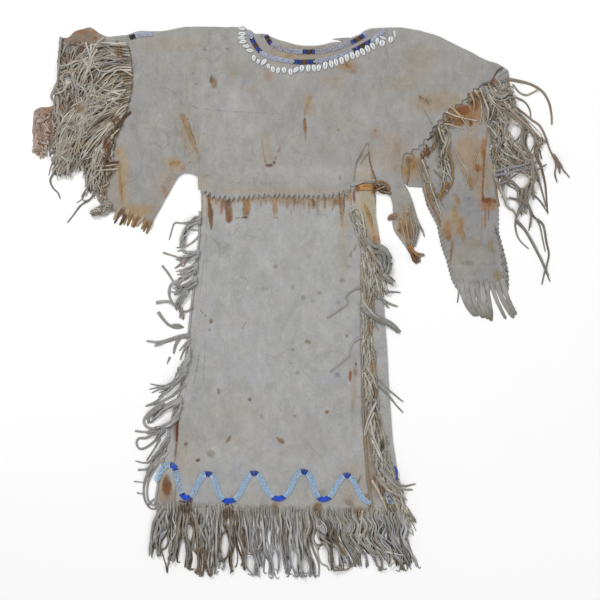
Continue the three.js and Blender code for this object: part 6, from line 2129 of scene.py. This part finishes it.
class Beads:
    def __init__(self, seed):
        self.rng = np.random.default_rng(seed)
        self.centers, self.axes, self.sizes, self.colors = [], [], [], []

    def lane(self, points, wide, across, pitch, color_at, missing=None):
        """Rows of beads sewn across a lane; each row arches up in the middle."""
        rng = self.rng
        path = spline(points, 1.0)
        sums = lengths(path)
        sides = normals(path)
        rows = int(sums[-1] / pitch)
        for r in range(rows):
            d = (r + 0.5) * pitch
            x, y = np.interp(d, sums, path[:, 0]), np.interp(d, sums, path[:, 1])
            side = np.array([np.interp(d, sums, sides[:, 0]), np.interp(d, sums, sides[:, 1])])
            side /= np.hypot(*side)
            shift, arch = rng.uniform(-0.3, 0.3), rng.uniform(0.8, 1.2)
            for k in range(across):
                a = (k + 0.5) / across * 2 - 1
                if missing is not None and missing(x, y, rng):
                    continue
                px = x + side[0] * (a * wide / 2 + shift) + rng.uniform(-0.12, 0.12)
                py = y + side[1] * (a * wide / 2 + shift) + rng.uniform(-0.12, 0.12)
                z = BEAD_RADIUS + 0.1 + 0.9 * arch * (1 - a * a)
                color = color_at(d, a, x, y, rng)
                self.centers.append((px, py, z))
                self.axes.append(side)
                self.sizes.append((wide / across / 2 * 0.98, BEAD_RADIUS * rng.uniform(0.92, 1.06)))
                self.colors.append(linear(color) * rng.uniform(0.86, 1.1))

    def piece(self, name, nodes, height_at):
        centers, axes = np.array(self.centers), np.array(self.axes)
        centers[:, 2] += height_at(centers[:, 0], centers[:, 1])
        sizes, colors = np.array(self.sizes), np.array(self.colors)
        blocks = []
        for place, radius in BEAD_STATIONS:
            for c, s in BEAD_RING:
                along_axis = axes * (place * sizes[:, :1])
                ahead = np.column_stack([-axes[:, 1], axes[:, 0]]) * (c * radius * sizes[:, 1:])
                flat = centers[:, :2] + along_axis + ahead
                blocks.append(np.column_stack([flat, centers[:, 2] + s * radius * sizes[:, 1]]))
        points = np.stack(blocks, axis=1).reshape(-1, 3)
        faces = (BEAD_FACES[None] + BEAD_POINTS * np.arange(len(centers))[:, None, None]).reshape(-1, 3)
        colors = np.repeat(colors, BEAD_POINTS, axis=0)
        return make_piece(name, points, faces, GLASS, colors, None, nodes)


def lane_colors(points, blocks, ground):
    """Colours by the distance along the lane: a block's colours run from its edge to its middle."""
    path = spline(points, 1.0)
    sums = lengths(path)
    middles = [sums[np.argmin(np.hypot(path[:, 0] - x, path[:, 1] - y))]
               for x, y in in_mm(block[:2] for block in blocks)]

    def color(d, a, x, y, rng):
        for middle, (_, _, half, flare, lean, colors) in zip(middles, blocks):
            reach = half * GRID + flare * GRID * abs(a) + lean * GRID * a
            off = abs(d - middle)
            if off < reach:
                return colors[min(len(colors) - 1, int(len(colors) * (1 - off / reach)))]
        return ground(rng)

    return color


# u, v, half length, flare at the sides, lean from side to side, colours from the edge to the middle
PEAK = [NAVY, (30, 60, 150), ROYAL, (30, 60, 150)]
TROUGH = [NAVY, ROYAL, ROYAL, ROYAL, ROYAL]
HEM_BLOCKS = [
    (175, 466, 4.2, 0, 0, [NAVY, ROYAL, ROYAL]),
    (185.5, 498.5, 5.4, 0, 0, [NAVY, ROYAL, ROYAL]),
    (208.5, 474, 2.9, 0, 0.6, PEAK),
    (229, 501, 5.8, 0, -1, TROUGH),
    (254, 473.5, 3.3, 0, 0.4, [(40, 70, 140), NAVY, (60, 100, 170)]),
    (279, 498, 5.8, 0, -1, TROUGH),
    (304, 472, 3.1, 0, 0.2, PEAK),
    (324, 499, 5.8, 0, -1, TROUGH),
    (347, 475, 2.9, 0, 0, PEAK),
]
OUTER_BLOCKS = [
    (255.8, 45.4, 6.8, 2.4, 0, [BLACK, BLUE, NAVY, BLUE, (60, 50, 60), (104, 68, 40)]),
    (304, 62, 8.8, 2.8, 0, [BLACK, BLUE, NAVY, BLUE, (66, 58, 60), (116, 78, 38)]),
    (362.2, 46.2, 9, 2.6, 0, [BLACK, BLUE, PURPLE, BLACK, (58, 48, 40)]),
]
INNER_BLOCKS = [
    (268, 39.5, 5.6, 0, 0, [NAVY, PURPLE, BLACK, (88, 76, 46)]),
    (308.8, 52, 6.4, 0, 0, [NAVY, BLUE, NAVY, BLACK, (88, 64, 44)]),
    (357.6, 39.4, 7.6, 0, 0, [BLUE, NAVY, BLACK, (108, 76, 46)]),
]


def hem_ground(rng):
    return PALE if rng.random() < 0.3 else SKY


def outer_ground(rng):
    return [(170, 176, 206), (188, 196, 216), (198, 204, 218)][rng.integers(3)]


def inner_ground(rng):
    return [(174, 182, 204), (186, 194, 210), (172, 176, 198)][rng.integers(3)]


def outer_missing(x, y, rng):
    return rng.random() < (0.22 if 32 < x < 106 else 0.03)


def inner_missing(x, y, rng):
    return rng.random() < (0.4 if 30 < x < 104 else 0.3 if -68 < x < -20 else 0.05)


def hem_missing(x, y, rng):
    worn = x < -262 and y > -425
    gap = abs(x + 276) < 9 and -425 < y < -372
    return rng.random() < (0.3 if gap else 0.12 if worn else 0.012)


def skirt_top(x, y):
    _, seam_left, _, _ = skirt_edges(y)
    return np.where(x < seam_left, SKIRT_TOP, skirt_under(x, y) + WALL + skirt_relief(x, y))


def yoke_top(x, y):
    return yoke_under(x, y) + WALL + yoke_relief(x, y)


def pile_top(x, y):
    return np.maximum(SKIRT_TOP, pile.height(x, y) - 0.8)


def bead_lane(name, node, seed, points, size, blocks, ground, top, missing=None):
    """One lane; its size is its width, the beads across it and the pitch of its rows."""
    beads = Beads(seed)
    beads.lane(points, *size, lane_colors(points, blocks, ground), missing)
    return beads.piece(name, [node], top)


HEM_SIZE = (12.4, 7, 1.9)
NECK_SIZE = (10.2, 6, 1.85)
SHOULDER_SIZE = (10.4, 6, 1.85)
hem_lane = bead_lane("beads_hem", "hem_lane", 301, HEM_WAVE, HEM_SIZE, HEM_BLOCKS, hem_ground, skirt_top,
                     hem_missing)
outer_lane = bead_lane("beads_neck_outer", "neck_lane_outer", 302, NECK_OUTER, NECK_SIZE, OUTER_BLOCKS,
                       outer_ground, yoke_top, outer_missing)
inner_lane = bead_lane("beads_neck_inner", "neck_lane_inner", 303, NECK_INNER, NECK_SIZE, INNER_BLOCKS,
                       inner_ground, yoke_top, inner_missing)
shoulder_lane = bead_lane("beads_shoulder", "shoulder_lane", 304, SHOULDER_LANE, SHOULDER_SIZE,
                          [(132, 37, 3.6, 0, 0, [BLACK, (60, 40, 30), BLACK, BLACK])], outer_ground, yoke_top)
edge_beads = Beads(305)
edge_beads.lane([at(394.6, 466.5), at(396.4, 470), at(396.8, 475), at(395.8, 480)], 5, 3, 1.9,
                lambda d, a, x, y, rng: NAVY if a > 0.3 or rng.random() < 0.3 else ROYAL)
edge_beads.lane([at(386, 493), at(389.5, 498), at(392.5, 504)], 6.4, 4, 1.9,
                lambda d, a, x, y, rng: NAVY if rng.random() < 0.3 else SKY)
side_lane = edge_beads.piece("beads_side", [], pile_top)

# ---- Cowrie shells ----
def shell_row():
    """Eggs with a toothed slit along the upper side. The slit and the lower half are painted darker, and the
    slit bluer: painted shade.
    """
    points, faces, colors = [], [], []
    around, rings = 28, 13
    index = np.arange(rings * around).reshape(rings, around)
    for number, (u, v, long, wide, turn) in enumerate(SHELLS):
        cx, cy = at(u, v)
        long, wide = long * GRID, wide * GRID
        high = min(1.15 * wide, 4.6)
        rows = []
        for r in range(rings):
            phi = math.pi * (r / (rings - 1) - 0.5)
            for k in range(around):
                theta = 2 * math.pi * k / around
                egg = 1 + 0.12 * math.sin(theta)
                ax = math.cos(phi) * math.cos(theta) * egg
                ay = math.cos(phi) * math.sin(theta)
                az = math.sin(phi)
                # Painted shade: the lower half darker, the slit darker and bluer
                shade = 0.9
                if az > 0:
                    slit = math.exp(-((ax / 0.3) ** 2)) * max(0.0, 1 - (ay / 0.92) ** 4)
                    teeth = 0.05 * math.cos(ay * 17) * math.exp(-(((abs(ax) - 0.4) / 0.14) ** 2))
                    az = az * (1 - 0.42 * slit) + teeth
                    shade = 1 - 0.62 * slit
                rows.append((ax * wide, ay * long, (az + 0.85) * high / 2))
                tone = linear((226, 229, 229)) * shade
                colors.append(tone * (1 - 0.04 * (1 - shade), 1, 1 + 0.1 * (1 - shade)))
        block = np.array(rows)
        c, s = math.cos(math.radians(turn - 90)), math.sin(math.radians(turn - 90))
        base = float(pile.height(cx, cy)) - 0.1
        points.append(np.column_stack([cx + block[:, 0] * c - block[:, 1] * s,
                                       cy + block[:, 0] * s + block[:, 1] * c, base + block[:, 2]]))
        faces.append(tube(index + number * rings * around))
    return np.vstack(points), np.vstack(faces), np.array(colors)


points, faces, colors = shell_row()
shells = make_piece("shells_neck", points, faces, SHELL, colors, None, ["shell_row"])
